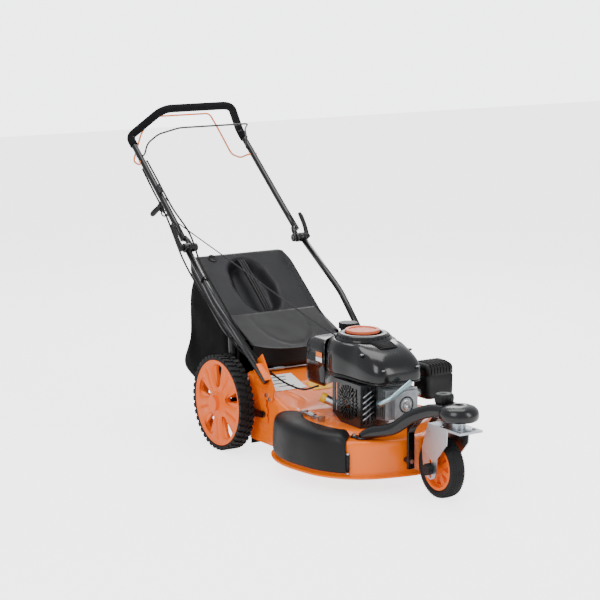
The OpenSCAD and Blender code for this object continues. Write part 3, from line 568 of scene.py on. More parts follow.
# ---- Foam grip ----
# A closed-cell foam sleeve pushed over the bent top of the handle, matt charcoal, its ends cut
# square.
grip_foam = surface("closed_cell_foam", ("09090b", "101013"), (0.8, 0.95), 26, 1.1, 0.25,
                    Specular_IOR_Level=0.2)
grip_route = bent_route(points_at(there_and_back(grip_corners)), 0.034)
grip_sides = 32
outer, outer_faces = tube_mesh(grip_route, 0.0135, grip_sides, up=across_handle)
inner, inner_faces = tube_mesh(grip_route, 0.0103, grip_sides, up=across_handle)
sleeve_faces = outer_faces[:-2] + [tuple(i + len(outer) for i in f) for f in inner_faces[:-2]]
for start in (0, len(outer) - grip_sides):
    inner_start = len(outer) + start
    for k in range(grip_sides):
        after = (k + 1) % grip_sides
        sleeve_faces.append((start + k, start + after, inner_start + after, inner_start + k))
grip = add_piece("foam_sleeve", outer + inner, sleeve_faces, "handle", grip_foam, ["foam_grip"])

# ---- Bails ----
# Two wire bails sprung into the handle tube: the black one stops the engine when it is let go,
# the orange one drives the wheels.
orange_rod = surface("orange_dipped_rod", ("f07a1e", "e86a12"), (0.3, 0.42), 40, 1.0, 0.02)


def bail_wire(corners):
    """A 6 mm wire bent the same way on both sides, with 16 mm left for each bend."""
    return tube_mesh(bent_route(points_at(there_and_back(corners)), 0.016), 0.003, 14)


brake_corners = [on_handle(415, 0, 224), on_handle(415, 0, 196), (-588, 190, 902), (-556, 166, 934),
                 (-478, 130, 960)]
drive_corners = [on_handle(391, 0, 226), on_handle(391, 0, 196), (-640, 197, 826), (-688, 190, 834),
                 (-708, 150, 920), (-704, 112, 977)]
brake_wire = add_piece("brake_bail_wire", *bail_wire(brake_corners), "brake_bail", black_coat,
                       ["brake_bail"])
drive_wire = add_piece("drive_bail_wire", *bail_wire(drive_corners), "drive_bail", orange_rod,
                       ["drive_bail"])

# ---- Wheels ----
# Moulded tyres with square shoulder blocks on the rear and a fine block tread on the front; the
# blocks are one block turned round the tyre.


def ring_of_copies(name, block, count, centre, body, material, phase=0.0):
    """A Geometry Nodes ring: one block turned round the y axis through a centre, as plain mesh."""
    template = bpy.data.meshes.new(name + "_block")
    template.from_pydata([tuple(Vector(p) / MM) for p in block[0]], [], block[1])
    template_object = bpy.data.objects.new(name + "_block", template)
    bpy.context.scene.collection.objects.link(template_object)
    tree = bpy.data.node_groups.new(name + "_ring", "GeometryNodeTree")
    sockets = {}
    for label, kind, value in (("Count", "NodeSocketInt", count), ("Phase", "NodeSocketFloat", phase),
                               ("Centre", "NodeSocketVector", tuple(centre))):
        socket = tree.interface.new_socket(label, in_out="INPUT", socket_type=kind)
        sockets[socket.identifier] = value
    tree.interface.new_socket("Geometry", in_out="OUTPUT", socket_type="NodeSocketGeometry")
    given = add_node(tree, "NodeGroupInput")
    line = add_node(tree, "GeometryNodeMeshLine", {"Count": given.outputs["Count"], "Offset": (0, 0, 0)})
    step = add_node(tree, "ShaderNodeMath", {0: 2 * math.pi, 1: given.outputs["Count"]}, operation="DIVIDE")
    index = add_node(tree, "GeometryNodeInputIndex")
    turn = add_node(tree, "ShaderNodeMath", {0: index.outputs[0], 1: step.outputs[0],
                    2: given.outputs["Phase"]}, operation="MULTIPLY_ADD")
    spin = add_node(tree, "ShaderNodeCombineXYZ", {"Y": turn.outputs[0]})
    source = add_node(tree, "GeometryNodeObjectInfo", {"Object": template_object})
    copies = add_node(tree, "GeometryNodeInstanceOnPoints", {"Points": line.outputs["Mesh"],
                      "Instance": source.outputs["Geometry"], "Rotation": spin.outputs[0]})
    real = add_node(tree, "GeometryNodeRealizeInstances", {"Geometry": copies.outputs[0]})
    moved = add_node(tree, "GeometryNodeTransform", {"Geometry": real.outputs[0],
                     "Translation": given.outputs["Centre"]})
    done = add_node(tree, "GeometryNodeSetMaterial", {"Geometry": moved.outputs[0], "Material": material})
    add_node(tree, "NodeGroupOutput", {"Geometry": done.outputs[0]})
    return run_tree(name, tree, sockets, body, [template_object])


def run_tree(name, tree, sockets, body, spent):
    """Runs a tree on an empty mesh, keeps the result as a plain mesh and clears up."""
    carrier = bpy.data.objects.new(name, bpy.data.meshes.new(name))
    bpy.context.scene.collection.objects.link(carrier)
    modifier = carrier.modifiers.new("nodes", "NODES")
    modifier.node_group = tree
    for identifier, value in sockets.items():
        modifier[identifier] = value
    bpy.context.view_layer.update()
    evaluated = carrier.evaluated_get(bpy.context.evaluated_depsgraph_get())
    mesh = bpy.data.meshes.new_from_object(evaluated)
    carrier.modifiers.remove(modifier)
    carrier.data = mesh
    mesh.name = name
    for used in spent:
        bpy.data.objects.remove(used)
    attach(carrier, body)
    return carrier


def block_mesh(corners):
    """A six-sided block from its four inner and four outer corners."""
    return corners, [(0, 1, 2, 3), (7, 6, 5, 4), (0, 4, 5, 1), (1, 5, 6, 2), (2, 6, 7, 3), (3, 7, 4, 0)]


def lug(y0, y1, r0, r1, half_low, half_high, skew=0):
    """A tapered tread block standing on a tyre, its ends skewed along the tyre."""
    return block_mesh([(-half_low - skew, y0, r0), (half_low - skew, y0, r0), (half_low + skew, y1, r0),
                       (-half_low + skew, y1, r0), (-half_high - skew, y0, r1), (half_high - skew, y0, r1),
                       (half_high + skew, y1, r1), (-half_high + skew, y1, r1)])


tyre_rubber = surface("tyre_rubber", ("0b0b0c", "121213"), (0.55, 0.75), 40, 1.4, 0.08,
                      Specular_IOR_Level=0.3)
rear_hub_height, tyre_inner_side = 150, 222
casing = [(4, 134), (0.6, 138), (0, 141), (2.5, 143.5), (8, 145), (25, 145.6), (42, 145), (47.5, 143.5),
          (50, 141), (49.4, 138), (46, 134)]
rear_lugs = [("outer", 271.6, 252, 7.4, 6.4, 0.0), ("inner", 222.4, 242, 7.4, 6.4, 0.075),
             ("middle", 240, 254, 4.6, 3.8, 0.035)]
for side, label in ((1, "left"), (-1, "right")):
    body = "wheel_" + label
    hub = at(0, 0, rear_hub_height)
    outline = [(side * tyre_inner_side + side * w, r) for w, r in casing]
    tyre = add_piece("rear_tyre_casing_" + label, *lathe(outline, hub, sides=128), body, tyre_rubber,
                     ["rear_tyre_" + label])
    for part, y0, y1, low, high, phase in rear_lugs:
        block = lug(side * y0, side * y1, 141.5, 149.6, low, high, 2.4)
        lugs = ring_of_copies(f"rear_tread_{part}_{label}", block, 42, hub, body, tyre_rubber, phase)
    scuffs = ring_of_copies(f"rear_tyre_sidewall_ribs_{label}",
                            lug(side * 271.2, side * 272, 137.5, 141.8, 1.2, 1.2), 84, hub, body, tyre_rubber)
front_hub = at(821, 0, 90)
outline = [(-18, 65.5), (-22.4, 70), (-23, 77), (-21, 83), (-15, 87), (-8, 88.4), (0, 88.8), (8, 88.4),
           (15, 87), (21, 83), (23, 77), (22.4, 70), (18, 65.5)]
front_casing = add_piece("front_tyre_casing", *lathe(outline, front_hub, sides=96), "front_wheel",
                         tyre_rubber, ["front_tyre"])
for row, phase, rise in ((-15.5, 0.0, 0), (-8, 0.05, 1.6), (0, 0.0, 2.1), (8, 0.05, 1.6), (15.5, 0.0, 0)):
    row_name = f"front_tread_{row:+.0f}".replace("+", "r").replace("-", "l")
    block = lug(row - 3, row + 3, 84.5, 87.7 + rise, 2.7, 2.3, 0.8)
    blocks = ring_of_copies(row_name, block, 66, front_hub, "front_wheel", tyre_rubber, phase)

# The face of each rear rim is moulded in orange nylon: five pairs of spokes, a crease down the
# middle of each pair, and five windows between the pairs.
rim_rings = [30, 36, 44, 50, 56, 66, 78, 90, 100, 108, 113, 117, 120.5, 124, 128, 131.5, 133.6]
# Steps across half a spoke pair: 0 is a window's middle, 1 its edge and 2 the crease.
rim_steps = [0, 0.25, 0.5, 0.75, 1.0, 1.08, 1.2, 1.45, 1.75, 1.88, 1.95, 2.0]
window_low, window_high = 48, 122
spoke_units, half_unit = 5, 36
steps_round = 2 * (len(rim_steps) - 1)


def rim_depth(radius, step):
    """How far out the rim's face stands: a dish with a crown and a crease on each spoke pair."""
    dish = np.interp(radius, [30, 44, 90, 112, 124, 133.6], [271.5, 268.4, 262.5, 262.5, 267, 270.4])
    crease = math.exp(-((2 - step) / 0.1) ** 2) * 6.5 * smooth_step(40, 62, radius) \
        * smooth_step(128, 108, radius)
    crown = 6.5 * smooth_step(1.0, 1.3, step) * smooth_step(40, 70, radius) * smooth_step(130, 112, radius)
    return dish + crown - crease


def window_half(radius):
    """Half the angle of a window at a radius, in degrees."""
    if not window_low < radius < window_high:
        return 5.0
    width = np.interp(radius, [48, 50, 56, 66, 90, 108, 117, 120.5], [0, 5, 10, 15, 25, 30, 25, 11])
    return math.degrees(math.atan2(float(width), radius))


for side, label in ((1, "left"), (-1, "right")):
    points, faces = [], []
    for radius in rim_rings:
        half = window_half(radius)
        for unit in range(spoke_units):
            for flip in (1, -1):
                steps = rim_steps if flip > 0 else rim_steps[::-1]
                middle = 18 + 72 * unit + (0 if flip > 0 else 72)
                for step in steps[:-1]:
                    share = step * half if step <= 1 else half + (step - 1) * (half_unit - half)
                    angle = math.radians(middle + flip * share)
                    points.append(at(radius * math.cos(angle), side * rim_depth(radius, step),
                                     rear_hub_height + radius * math.sin(angle)))
    columns = spoke_units * steps_round
    for i, j in ((i, j) for i in range(len(rim_rings) - 1) for j in range(columns)):
        place = j % steps_round
        beside_window = place < 4 or place >= steps_round - 4
        if not (beside_window and window_low < rim_rings[i] + 1 and rim_rings[i + 1] < window_high):
            faces.append(quad(i, j, columns))
    face = add_piece("rear_rim_face_" + label, points, faces, "wheel_" + label, orange_nylon)
    modify(face, "SOLIDIFY", thickness=0.0022, offset=-1)
    rounder(face, levels=1)

# ---- Front arm ----
# A black-coated steel yoke: two fat tubes rise from the deck's shoulder and meet in a round head
# over the caster.
arm_corners = [(622, 142, 154), (650, 124, 172), (704, 90, 190), (756, 62, 232), (806, 36, 256),
               (846, 22, 263), (890, 12, 265)]


def widths_along(route, shares, widths_mm):
    """A tube's radius at each point of a route, from radii at shares of its length."""
    return (np.interp(np.linspace(0, 1, len(route)), shares, widths_mm) / MM).tolist()


arm_parts = []
for side in (-1, 1):
    route = spline_route(points_at([(x, side * y, z) for x, y, z in arm_corners]), 5)
    widths = widths_along(route, [0, 0.12, 0.5, 0.8, 1], [16.5, 19, 20, 20.5, 19])
    arm_parts.append(tube_mesh(route, widths, 28, flat=0.95))
    arm_parts.append(lathe([(150.3, 0.2), (150.3, 20.5), (151.3, 22), (155, 22), (156.3, 20.5), (156.3, 0.2)],
                     at(622, side * 142, 0), "z", 40))
    arm_parts.append(lathe([(150.3, 3.2), (150.3, 10.4), (151, 11), (155.6, 11), (156.3, 10.4), (156.3, 3.2)],
                     at(601, side * 155, 0), "z", 32))
    arm_parts.append(lathe([(697, 4), (697, 9), (717, 9), (717, 4)], at(0, side * 38, 90), "x", 32))
head = [(244, 10.1), (244, 50), (246, 54), (252, 57.4), (260, 58), (268, 57), (276, 53.5), (282, 47),
        (286, 36), (288, 22), (288, 10.1)]
arm_parts.append(lathe(head, at(900, 0, 0), "z", 72))
lock_axis = at(829, 0, 0)
lock_boss = [(246, 5.3), (246, 24), (248, 26), (274, 26), (276, 24), (276, 5.3)]
arm_parts.append(lathe(lock_boss, lock_axis, "z", 48))
arm = add_piece("front_yoke", *joined(*arm_parts), "chassis", black_coat, ["front_arm"])
strut_view = [(716, 66), (724, 66), (724, 176), (738, 194), (788, 240), (764, 246), (716, 196)]
strut_thickness = 24
plates = []
for low in (-50, 26):
    flat_points = [at(x, y, z) for y in (low, low + strut_thickness) for x, z in strut_view]
    n = len(strut_view)
    plates.append((flat_points, [tuple(range(n)), tuple(range(2 * n - 1, n - 1, -1))]
                   + [(k, n + k, n + (k + 1) % n, (k + 1) % n) for k in range(n)]))
struts = add_piece("front_yoke_struts", *joined(*plates), "chassis", black_coat, smooth=False)
rounder(struts, 1.6)

# ---- Caster details ----
# A moulded lock knob with finger flutes on a steel pin, and four round rivet heads that hold
# the fork's plate to its swivel.
knob_profile = [(276.5, 5), (276.5, 22), (279, 25.5), (284, 27.5), (296, 28.6), (303, 28), (307, 24.5),
                (308, 18), (306.4, 11), (306, 0.2), (282, 0.2), (282, 5)]
knob_points, knob_faces = lathe(knob_profile, lock_axis, "z", 72)
flute_depth, fluted_past = 0.0012, 0.024
for i, spot in enumerate(knob_points):
    column = i // len(knob_profile)
    across = Vector((spot.x - lock_axis.x, spot.y - lock_axis.y, 0))
    if across.length > fluted_past:
        cut = flute_depth * (0.5 + 0.5 * math.cos(column * math.pi / 2))
        knob_points[i] = spot - across.normalized() * cut
knob_pin = lathe([(264.5, 0.2), (264.5, 4.6), (284, 4.6), (284, 0.2)], lock_axis, "z", 24)
knob = add_piece("lock_knob_moulding", *joined((knob_points, knob_faces), knob_pin), "caster_lock",
                 grained_plastic, ["lock_knob"])
rivet_head = [(222, 0.2), (222, 6), (223.4, 5.4), (224.8, 3.2), (225.2, 0.2)]
rivets = [lathe(rivet_head, at(x, y, 0), "z", 24) for x, y in ((862, 26), (862, -26), (938, 26), (938, -26))]
rivet_heads = add_piece("fork_rivets", *joined(*rivets), "caster", zinc)

# ---- Engine cowl ----
# Gloss black moulded cowl over the flywheel and cylinder: a round back, a broad nose sloping
# down to the cylinder head and a ring of slots below the starter's lid, their dark insides painted shade.
cowl_x, ring_radius, ring_height = crank_x, 84, 399


def cowl_edge(angle):
    """How far the cowl's wall stands from the crankshaft in a direction."""
    along, across = math.cos(angle), math.sin(angle)
    nose = 0
    if along > 0:
        nose = ((along / 202) ** 5 + (abs(across) / 99) ** 5) ** (-1 / 5)
    return (112 ** 16 + max(nose, 1) ** 16) ** (1 / 16)


def cowl_shoulder(angle):
    """Height at which the cowl's side turns upright."""
    return 344 - 22 * smooth_step(0.1, 0.9, math.cos(angle))


def cowl_power(angle):
    """How square the bend between the cowl's top and side is; 2 is round."""
    return 2.5 - 0.65 * smooth_step(0.0, 0.9, math.cos(angle))


def cowl_point(angle, share):
    """A point on the cowl's top, share 0 at the ring and 1 at the upright side."""
    edge, shoulder, power = cowl_edge(angle), cowl_shoulder(angle), cowl_power(angle)
    reach = ring_radius + (edge - ring_radius) * math.sin(share * math.pi / 2) ** (2 / power)
    height = shoulder + (ring_height - shoulder) * math.cos(share * math.pi / 2) ** (2 / power)
    crease = math.exp(-((abs(math.degrees(angle)) - 40) / 7) ** 2) * 5 * math.sin(share * math.pi)
    return cowl_x + reach * math.cos(angle), reach * math.sin(angle), height + crease


cowl_turns = 144
points = []
for k in range(cowl_turns):
    angle = 2 * math.pi * k / cowl_turns - math.pi
    edge, shoulder = cowl_edge(angle), cowl_shoulder(angle)
    column = [(cowl_x + r * math.cos(angle), r * math.sin(angle), z)
              for r, z in ((66, 398), (72, 401.5), (80, 401.5))]
    column += [cowl_point(angle, share / 14) for share in range(15)]
    for drop, out in ((0.3, 0.5), (0.62, 0.8), (0.8, 0.8), (0.83, -1.6), (0.88, -1.6), (0.91, 1.4), (1, 1.6)):
        column.append((cowl_x + (edge + out) * math.cos(angle), (edge + out) * math.sin(angle),
                       shoulder + (296 - shoulder) * drop))
    points += [at(*p) for p in column]
cowl_columns = len(column)
faces = [(k * cowl_columns + j, ((k + 1) % cowl_turns) * cowl_columns + j,
          ((k + 1) % cowl_turns) * cowl_columns + j + 1, k * cowl_columns + j + 1)
         for k in range(cowl_turns) for j in range(cowl_columns - 1)]
cowl = add_piece("engine_cowl", points, faces, "chassis", cowl_plastic, ["blower_housing"])
modify(cowl, "SOLIDIFY", thickness=0.0025, offset=-1)
crank_foot = at(cowl_x, 0, 0)
ring_profile = [(396, 60), (396, 85.5), (399, 86.5), (403.5, 86.5), (406, 80), (412, 78.5), (415, 74),
                (417, 66), (417, 58), (414, 55.5), (411, 55.5), (411, 60)]
ring = add_piece("cowl_slot_ring", *lathe(ring_profile, crank_foot, "z", 96), "chassis", cowl_plastic)
# Painted shade: matt black blocks set into the ring where its slots are, as dark as the shade inside a slot;
# no opening is cut.
slot_shadow = surface("painted_slot_shade", ("050505", "090909"), (0.7, 0.9), 20, 1.0, 0.05)
slot_count, slot_depth = 30, 4
slots = []
for k in range(slot_count):
    angle = 2 * math.pi * k / slot_count
    middle = Vector((math.cos(angle), math.sin(angle), 0))
    side = Vector((-math.sin(angle), math.cos(angle), 0))
    inner_corners, outer_corners = [], []
    for width, height, out in ((-3.2, 406.4, 80.6), (3.2, 406.4, 80.6), (3.2, 411.2, 79.6),
                               (-3.2, 411.2, 79.6)):
        up_and_across = side * width + Vector((0, 0, height))
        inner_corners.append(crank_foot + (middle * (out - slot_depth) + up_and_across) / MM)
        outer_corners.append(crank_foot + (middle * out + up_and_across) / MM)
    slots.append(block_mesh(inner_corners + outer_corners))
# The slots are painted shade: dark blocks on the ring, not openings.
slot_shade_marks = add_piece("cowl_slots", *joined(*slots), "chassis", slot_shadow, smooth=False)
louvres = []
for k in range(7):
    x = 506 + 7.5 * k
    spread = (x - cowl_x - ring_radius) / (cowl_edge(0) - ring_radius)
    rise = cowl_point(0, 2 / math.pi * math.asin(spread ** (cowl_power(0) / 2)))[2] + 2.6
    wide = 34 - 0.6 * k
    bar = [(x - 3, -wide, rise - 2), (x - 1, -wide * 0.5, rise), (x, 0, rise + 0.4),
           (x - 1, wide * 0.5, rise), (x - 3, wide, rise - 2)]
    louvres.append(tube_mesh(points_at(bar), 0.0024, 10, flat=1.3))
louvre_bars = add_piece("cowl_nose_louvres", *joined(*louvres), "chassis", grained_plastic)
cup_profile = [(-2, 0.2), (-2, 9), (2.2, 9), (3.4, 7.6), (2.4, 6.4), (1, 6), (1, 0.2)]
screw_profile = [(0.4, 0.2), (0.4, 5.4), (3.4, 5), (3.8, 4), (3.8, 2.2), (2.2, 2), (2.2, 0.2)]
cups, screws = [], []
for angle, share in ((0.62, 0.55), (-0.62, 0.55), (0.3, 0.86), (-0.3, 0.86)):
    x, y, z = cowl_point(angle, share)
    cups.append(lathe([(z + rise, radius) for rise, radius in cup_profile], at(x, y, 0), "z", 28))
    screws.append(lathe([(z + rise, radius) for rise, radius in screw_profile], at(x, y, 0), "z", 20))
screw_cups = add_piece("cowl_screw_bosses", *joined(*cups), "chassis", cowl_plastic)
screw_heads = add_piece("cowl_screws", *joined(*screws), "chassis", zinc)

# ---- Fuel tank ----
# Blow-moulded black tank hung behind the cowl, with a pinch seam round its middle and a filler
# neck. Its plain two-colour label carries no words.
loop_count = 72


def rounded_loop(centre_x, centre_y, half_x, half_y, power):
    """Plan points round a rounded rectangle."""
    loop = []
    for k in range(loop_count):
        angle = 2 * math.pi * k / loop_count
        c, s = math.cos(angle), math.sin(angle)
        loop.append((centre_x + half_x * math.copysign(abs(c) ** (2 / power), c),
                     centre_y + half_y * math.copysign(abs(s) ** (2 / power), s)))
    return loop


tank_levels = [(246, 16), (247.5, 9), (252, 3), (262, 0.8), (300, 0), (319, 0), (320, -2.2), (323, -2.2),
               (324, 0), (350, 0.6), (368, 2.6), (378, 7), (384, 14), (387, 24), (388, 40), (388.5, 60)]
cowl_clearance = 115
points = []
for height, inset in tank_levels:
    for x, y in rounded_loop(304, -5, 68 - inset, 101 - inset, 5):
        if math.hypot(x - cowl_x, y) < cowl_clearance and abs(y) < cowl_clearance:
            x = cowl_x - math.sqrt(cowl_clearance ** 2 - y * y)
        points.append(at(x, y, height))
neck = lathe([(384, 20.2), (384, 26), (394, 24.6), (400, 24), (400, 20.2)], at(272, 40, 0), "z", 40)
tank = add_piece("fuel_tank_moulding", *joined((points, capped_faces(len(tank_levels), loop_count)), neck),
                 "chassis", cowl_plastic, ["fuel_tank"])
# Printed vinyl: flat colours under a thin satin film.
label_white = surface("printed_label_white", ("f2f2ef", "e9e9e6"), (0.35, 0.5), 30, 2.0, 0.01)
label_yellow = surface("printed_label_yellow", ("f2b61a", "eaa912"), (0.35, 0.5), 30, 2.0, 0.01)
label_orange = surface("printed_label_orange", ("f07820", "e86c14"), (0.35, 0.5), 30, 2.0, 0.01)


def sticker(name, corners, material, rise=(0, 0, 1)):
    """A printed label half a millimetre thick, its corners given in order."""
    lift = Vector(rise).normalized() * 0.0005
    flat = points_at(corners)
    made = add_piece(name, *block_mesh(flat + [p + lift for p in flat]), "chassis", material, smooth=False)


for name, low, material in (("tank_label_orange", 338, label_orange), ("tank_label_white", 322, label_white)):
    high = low + 14
    corners = [(318, -107, low), (350, -106.4, low), (350, -106.4, high), (318, -107, high)]
    sticker(name, corners, material, rise=(0, -1, 0))


def roof_patch(x0, x1, y0, y1, tilt):
    """Corners of a label just above the deck, its front edge moved sideways by tilt."""
    corners = []
    for x, y in ((x0, y0), (x1, y0 + tilt), (x1, y1 + tilt), (x0, y1)):
        corners.append((x, y, deck_height(x, y) + 1.2))
    return corners


sticker("deck_label_white", roof_patch(92, 176, -168, -56, 6), label_white)
sticker("deck_label_yellow", roof_patch(150, 196, -40, 30, 4), label_yellow)
for k in range(4):
    bar = roof_patch(104 + 17 * k, 107 + 17 * k, -152 + 12 * (k % 2), -84 - 9 * (k % 3), 1)
    sticker(f"deck_label_bar_{k}", [(x, y, z + 0.7) for x, y, z in bar], grained_plastic)

# ---- Muffler guard and cylinder ----
# Pressed steel guard with fine slots struck out of its side, and bright slanting slots on its
# front; the round ribbed cover of the valves stands on the cylinder head.
guard_centre = at(506, 0, 232)
for count, low, high, name in ((18, 20, 34, "inner"), (26, 38, 52, "outer")):
    block = lug(-118.6, -115.5, low, high, 1.5, 2.1)
    marks = ring_of_copies("guard_struck_slots_" + name, block, count, guard_centre, "chassis", black_coat)
boss_profile = [(-115, 0.2), (-119, 0.2), (-119.4, 8), (-118.4, 14), (-116, 17), (-115, 17)]
hub_cap = add_piece("guard_boss", *lathe(boss_profile, guard_centre, sides=40), "chassis", black_coat)
guard_marks = []
for k in range(5):
    z = 196 + 17 * k
    slant = [(574.6, -108, z - 7), (575.6, -96, z), (575.6, -84, z + 8), (574.6, -70, z + 15)]
    guard_marks.append(tube_mesh(points_at(slant), 0.0030, 10, flat=0.6))
guard_slots = add_piece("guard_front_slots", *joined(*guard_marks), "chassis", zinc)
# Die-cast alloy, polished: bright, with faint cloudy patches.
bright_alloy = surface("polished_die_cast_alloy", ("d0d3d6", "b2b6ba"), (0.22, 0.38), 20, 1.0, 0.03,
                       Metallic=1.0)
cover_profile = [(611, 0.2), (611, 40), (626, 40), (629, 38.5), (631, 36), (631, 33), (628.6, 32),
                 (628.6, 29), (632, 28), (634, 25), (634, 21), (631.6, 20), (631.6, 16.5), (634.6, 15.5),
                 (635.6, 12), (635.6, 0.2)]
valve_cover = add_piece("valve_cover", *lathe(cover_profile, at(0, 6, 235), "x", 72), "chassis", bright_alloy)

# ---- Air filter box ----
# Moulded black box on the far side of the engine; ribs stiffen its lid.
points = []
box_levels = [(222, 14), (223, 7), (228, 1.5), (240, 0), (292, 0), (293, 2), (296, 2), (297, 0), (316, 0.6),
              (324, 4), (328.6, 10), (330, 20)]
for height, inset in box_levels:
    points += [at(x, y, height) for x, y in rounded_loop(540, 169, 40 - inset, 51 - inset, 6)]
rib_view = [(579, 300), (580.4, 316), (574, 328), (556, 330.6), (524, 330.6), (506, 328)]
ribs = []
for k in range(7):
    y = 136 + 11 * k
    ribs.append(tube_mesh(points_at([(x, y, z) for x, z in rib_view]), 0.0026, 8))
box = (points, capped_faces(len(box_levels), loop_count))
filter_box = add_piece("air_box_moulding", *joined(box, *ribs), "chassis", grained_plastic,
                       ["air_filter_box"])

# ---- Side cover fittings ----
# The cover's closing spring, wound from steel wire, and the black strip with zinc ends that
# stands beside its front edge.
coil, coil_radius, coil_steps, steps_a_turn = [], 7.6, 120, 12
for k in range(coil_steps + 1):
    turn = 2 * math.pi * k / steps_a_turn
    coil.append(at(376 + 28 * k / coil_steps, -166 + coil_radius * math.cos(turn),
                   176 + coil_radius * math.sin(turn)))
spring = add_piece("side_cover_spring", *tube_mesh(coil, 0.0009, 8), "chassis", zinc)
strip_turn = math.radians(-44.2)
strip_reach = edge_distance(strip_turn) + 5.5
strip_x, strip_y = deck_x + strip_reach * math.cos(strip_turn), strip_reach * math.sin(strip_turn)
strip_run = points_at([(strip_x, strip_y, 62), (strip_x, strip_y, 112)])
strip = add_piece("cover_edge_strip", *tube_mesh(strip_run, 0.0056, 12), "chassis", grained_plastic)
end_profile = [(0, 0.2), (0, 4.4), (5, 4.4), (6, 3.4), (6, 0.2)]
ends = [lathe(end_profile, at(strip_x, strip_y, low), "z", 24) for low in (54, 112)]
strip_ends = add_piece("cover_edge_strip_ends", *joined(*ends), "chassis", zinc)

# ---- Grass bag ----
# A woven polyester bag hung on a wire frame, open at its front, sagging between its hems and
# bulging low at the back.
# Black woven polyester, matt. Its threads are 2 mm apart, about four times as coarse as real
# ones, so that they show.
bag_fabric = surface("woven_polyester", ("030304", "070708"), (0.75, 0.92), 60, 1.8, 0.2,
                     Specular_IOR_Level=0.12)
weave = bag_fabric.node_tree
weave_shader = weave.nodes["Principled BSDF"]
weave_place = add_node(weave, "ShaderNodeTexCoord").outputs["Object"]
threads = [add_node(weave, "ShaderNodeTexWave", {"Vector": weave_place, "Scale": 160.0, "Distortion": 0.6},
                    bands_direction=direction) for direction in ("X", "Z")]
both = add_node(weave, "ShaderNodeMath", {0: threads[0].outputs["Fac"], 1: threads[1].outputs["Fac"]},
                operation="MULTIPLY")
woven = add_node(weave, "ShaderNodeBump", {"Height": both.outputs[0], "Strength": 0.6, "Distance": 0.0006,
                 "Normal": weave_shader.inputs["Normal"].links[0].from_socket})
weave.links.new(woven.outputs["Normal"], weave_shader.inputs["Normal"])


bag_mouth = -48


def bag_back(depth):
    """How far back the bag reaches at a depth, 0 at its top and 1 at its floor."""
    depths_of_back = [0, 0.3, 0.62, 0.74, 0.86, 0.94, 1]
    return float(np.interp(depth, depths_of_back, [-345, -346, -350, -368, -392, -384, -366]))


def bag_place(depth, front_share, side):
    """A point of the bag: front_share is 1 at its mouth and 0 at its back."""
    x = bag_back(depth) + (bag_mouth - bag_back(depth)) * front_share
    top = 340 + (525 - 340) * (bag_mouth - x) / 297
    floor_z = float(np.interp(x, [-380, -290, -120, -48], [158, 138, 127, 142]))
    return x, side, top + (floor_z - top) * depth


points, bag_ring = [], 96
depths = [0, 0.02, 0.05, 0.1, 0.16, 0.23, 0.3, 0.38, 0.46, 0.54, 0.62, 0.69, 0.76, 0.82, 0.88, 0.92, 0.955,
          0.98, 0.995]
for depth in depths:
    closing = smooth_step(0.86, 1.0, depth)
    squareness = 0.42 - 0.2 * smooth_step(0, 0.22, depth)
    for k in range(bag_ring):
        angle = 2 * math.pi * k / bag_ring
        c, s = math.cos(angle), math.sin(angle)
        share = 0.5 + 0.5 * math.copysign(abs(c) ** squareness, c) * (1 - 0.10 * closing)
        side = 186 * math.copysign(abs(s) ** squareness, s) * (1 - 0.14 * closing ** 2)
        x, y, z = bag_place(depth, share, side)
        loose = math.sin(math.pi * min(depth, 1)) ** 0.8
        flank = smooth_step(0.5, 0.95, abs(s))
        fold = 2.6 * math.sin(x / 17 + 3.2 * depth) + 2.2 * math.sin(x / 9.5 - 5.4 * depth + 1.3) \
            + 3.0 * math.sin(z / 31 + x / 60)
        y += math.copysign(1, s) * flank * loose * (0.8 * fold - 5 + 7 * smooth_step(0.5, 0.85, depth))
        back = smooth_step(0.4, 0.95, -c)
        x += back * loose * (1.6 * math.sin(y / 21 + 4 * depth) + 1.3 * math.sin(z / 12 + y / 40))
        x = max(x, -404)
        points.append(at(x, max(min(y, 192), -192), z))
floor_centre = len(points)
points.append(at(-215, 0, 133))
faces = []
for i, j in ((i, j) for i in range(len(depths) - 1) for j in range(bag_ring)):
    corners = quad(i, j, bag_ring)
    middle = sum((points[c] for c in corners), Vector()) / 4 - at(0, 0, 0)
    if not (middle.x > -0.056 and abs(middle.y) < 0.156 and 0.166 < middle.z < 0.308):
        faces.append(corners)
last = (len(depths) - 1) * bag_ring
faces += [(last + j, last + (j + 1) % bag_ring, floor_centre) for j in range(bag_ring)]
bag = add_piece("grass_bag_fabric", points, faces, "grass_bag", bag_fabric, ["bag_body"])
modify(bag, "SOLIDIFY", thickness=0.0018, offset=-1)
rounder(bag, levels=1)
mouth = points_at([(-52, -160, 162), (-52, 160, 162), (-52, 160, 312), (-52, -160, 312), (-52, -160, 162),
                   (-52, -150, 162)])
mouth_frame = add_piece("bag_mouth_frame", *tube_mesh(bent_route(mouth, 0.012), 0.0042, 12), "grass_bag",
                        grained_plastic)

# ---- Bag lid ----
# Moulded polypropylene lid: an oval finger bowl with a ribbed carrying handle across it and a
# small disc that shows when the bag is full.
lid_plastic = surface("lid_polypropylene", ("111114", "17171a"), (0.42, 0.56), 90, 1.4, 0.06,
                      Specular_IOR_Level=0.3)
bowl_slope = math.radians(38)
bowl_middle = Vector((-219, 0, 462))
bowl_along = Vector((math.cos(bowl_slope), 0, -math.sin(bowl_slope)))
bowl_out = Vector((math.sin(bowl_slope), 0, math.cos(bowl_slope)))


lid_back, lid_length, lid_half = -349, 341, 189
lid_corner, corner_x, corner_y = 60, lid_back + 60, 129
bowl_half_length, bowl_radius, bowl_depth = 52, 79, 36


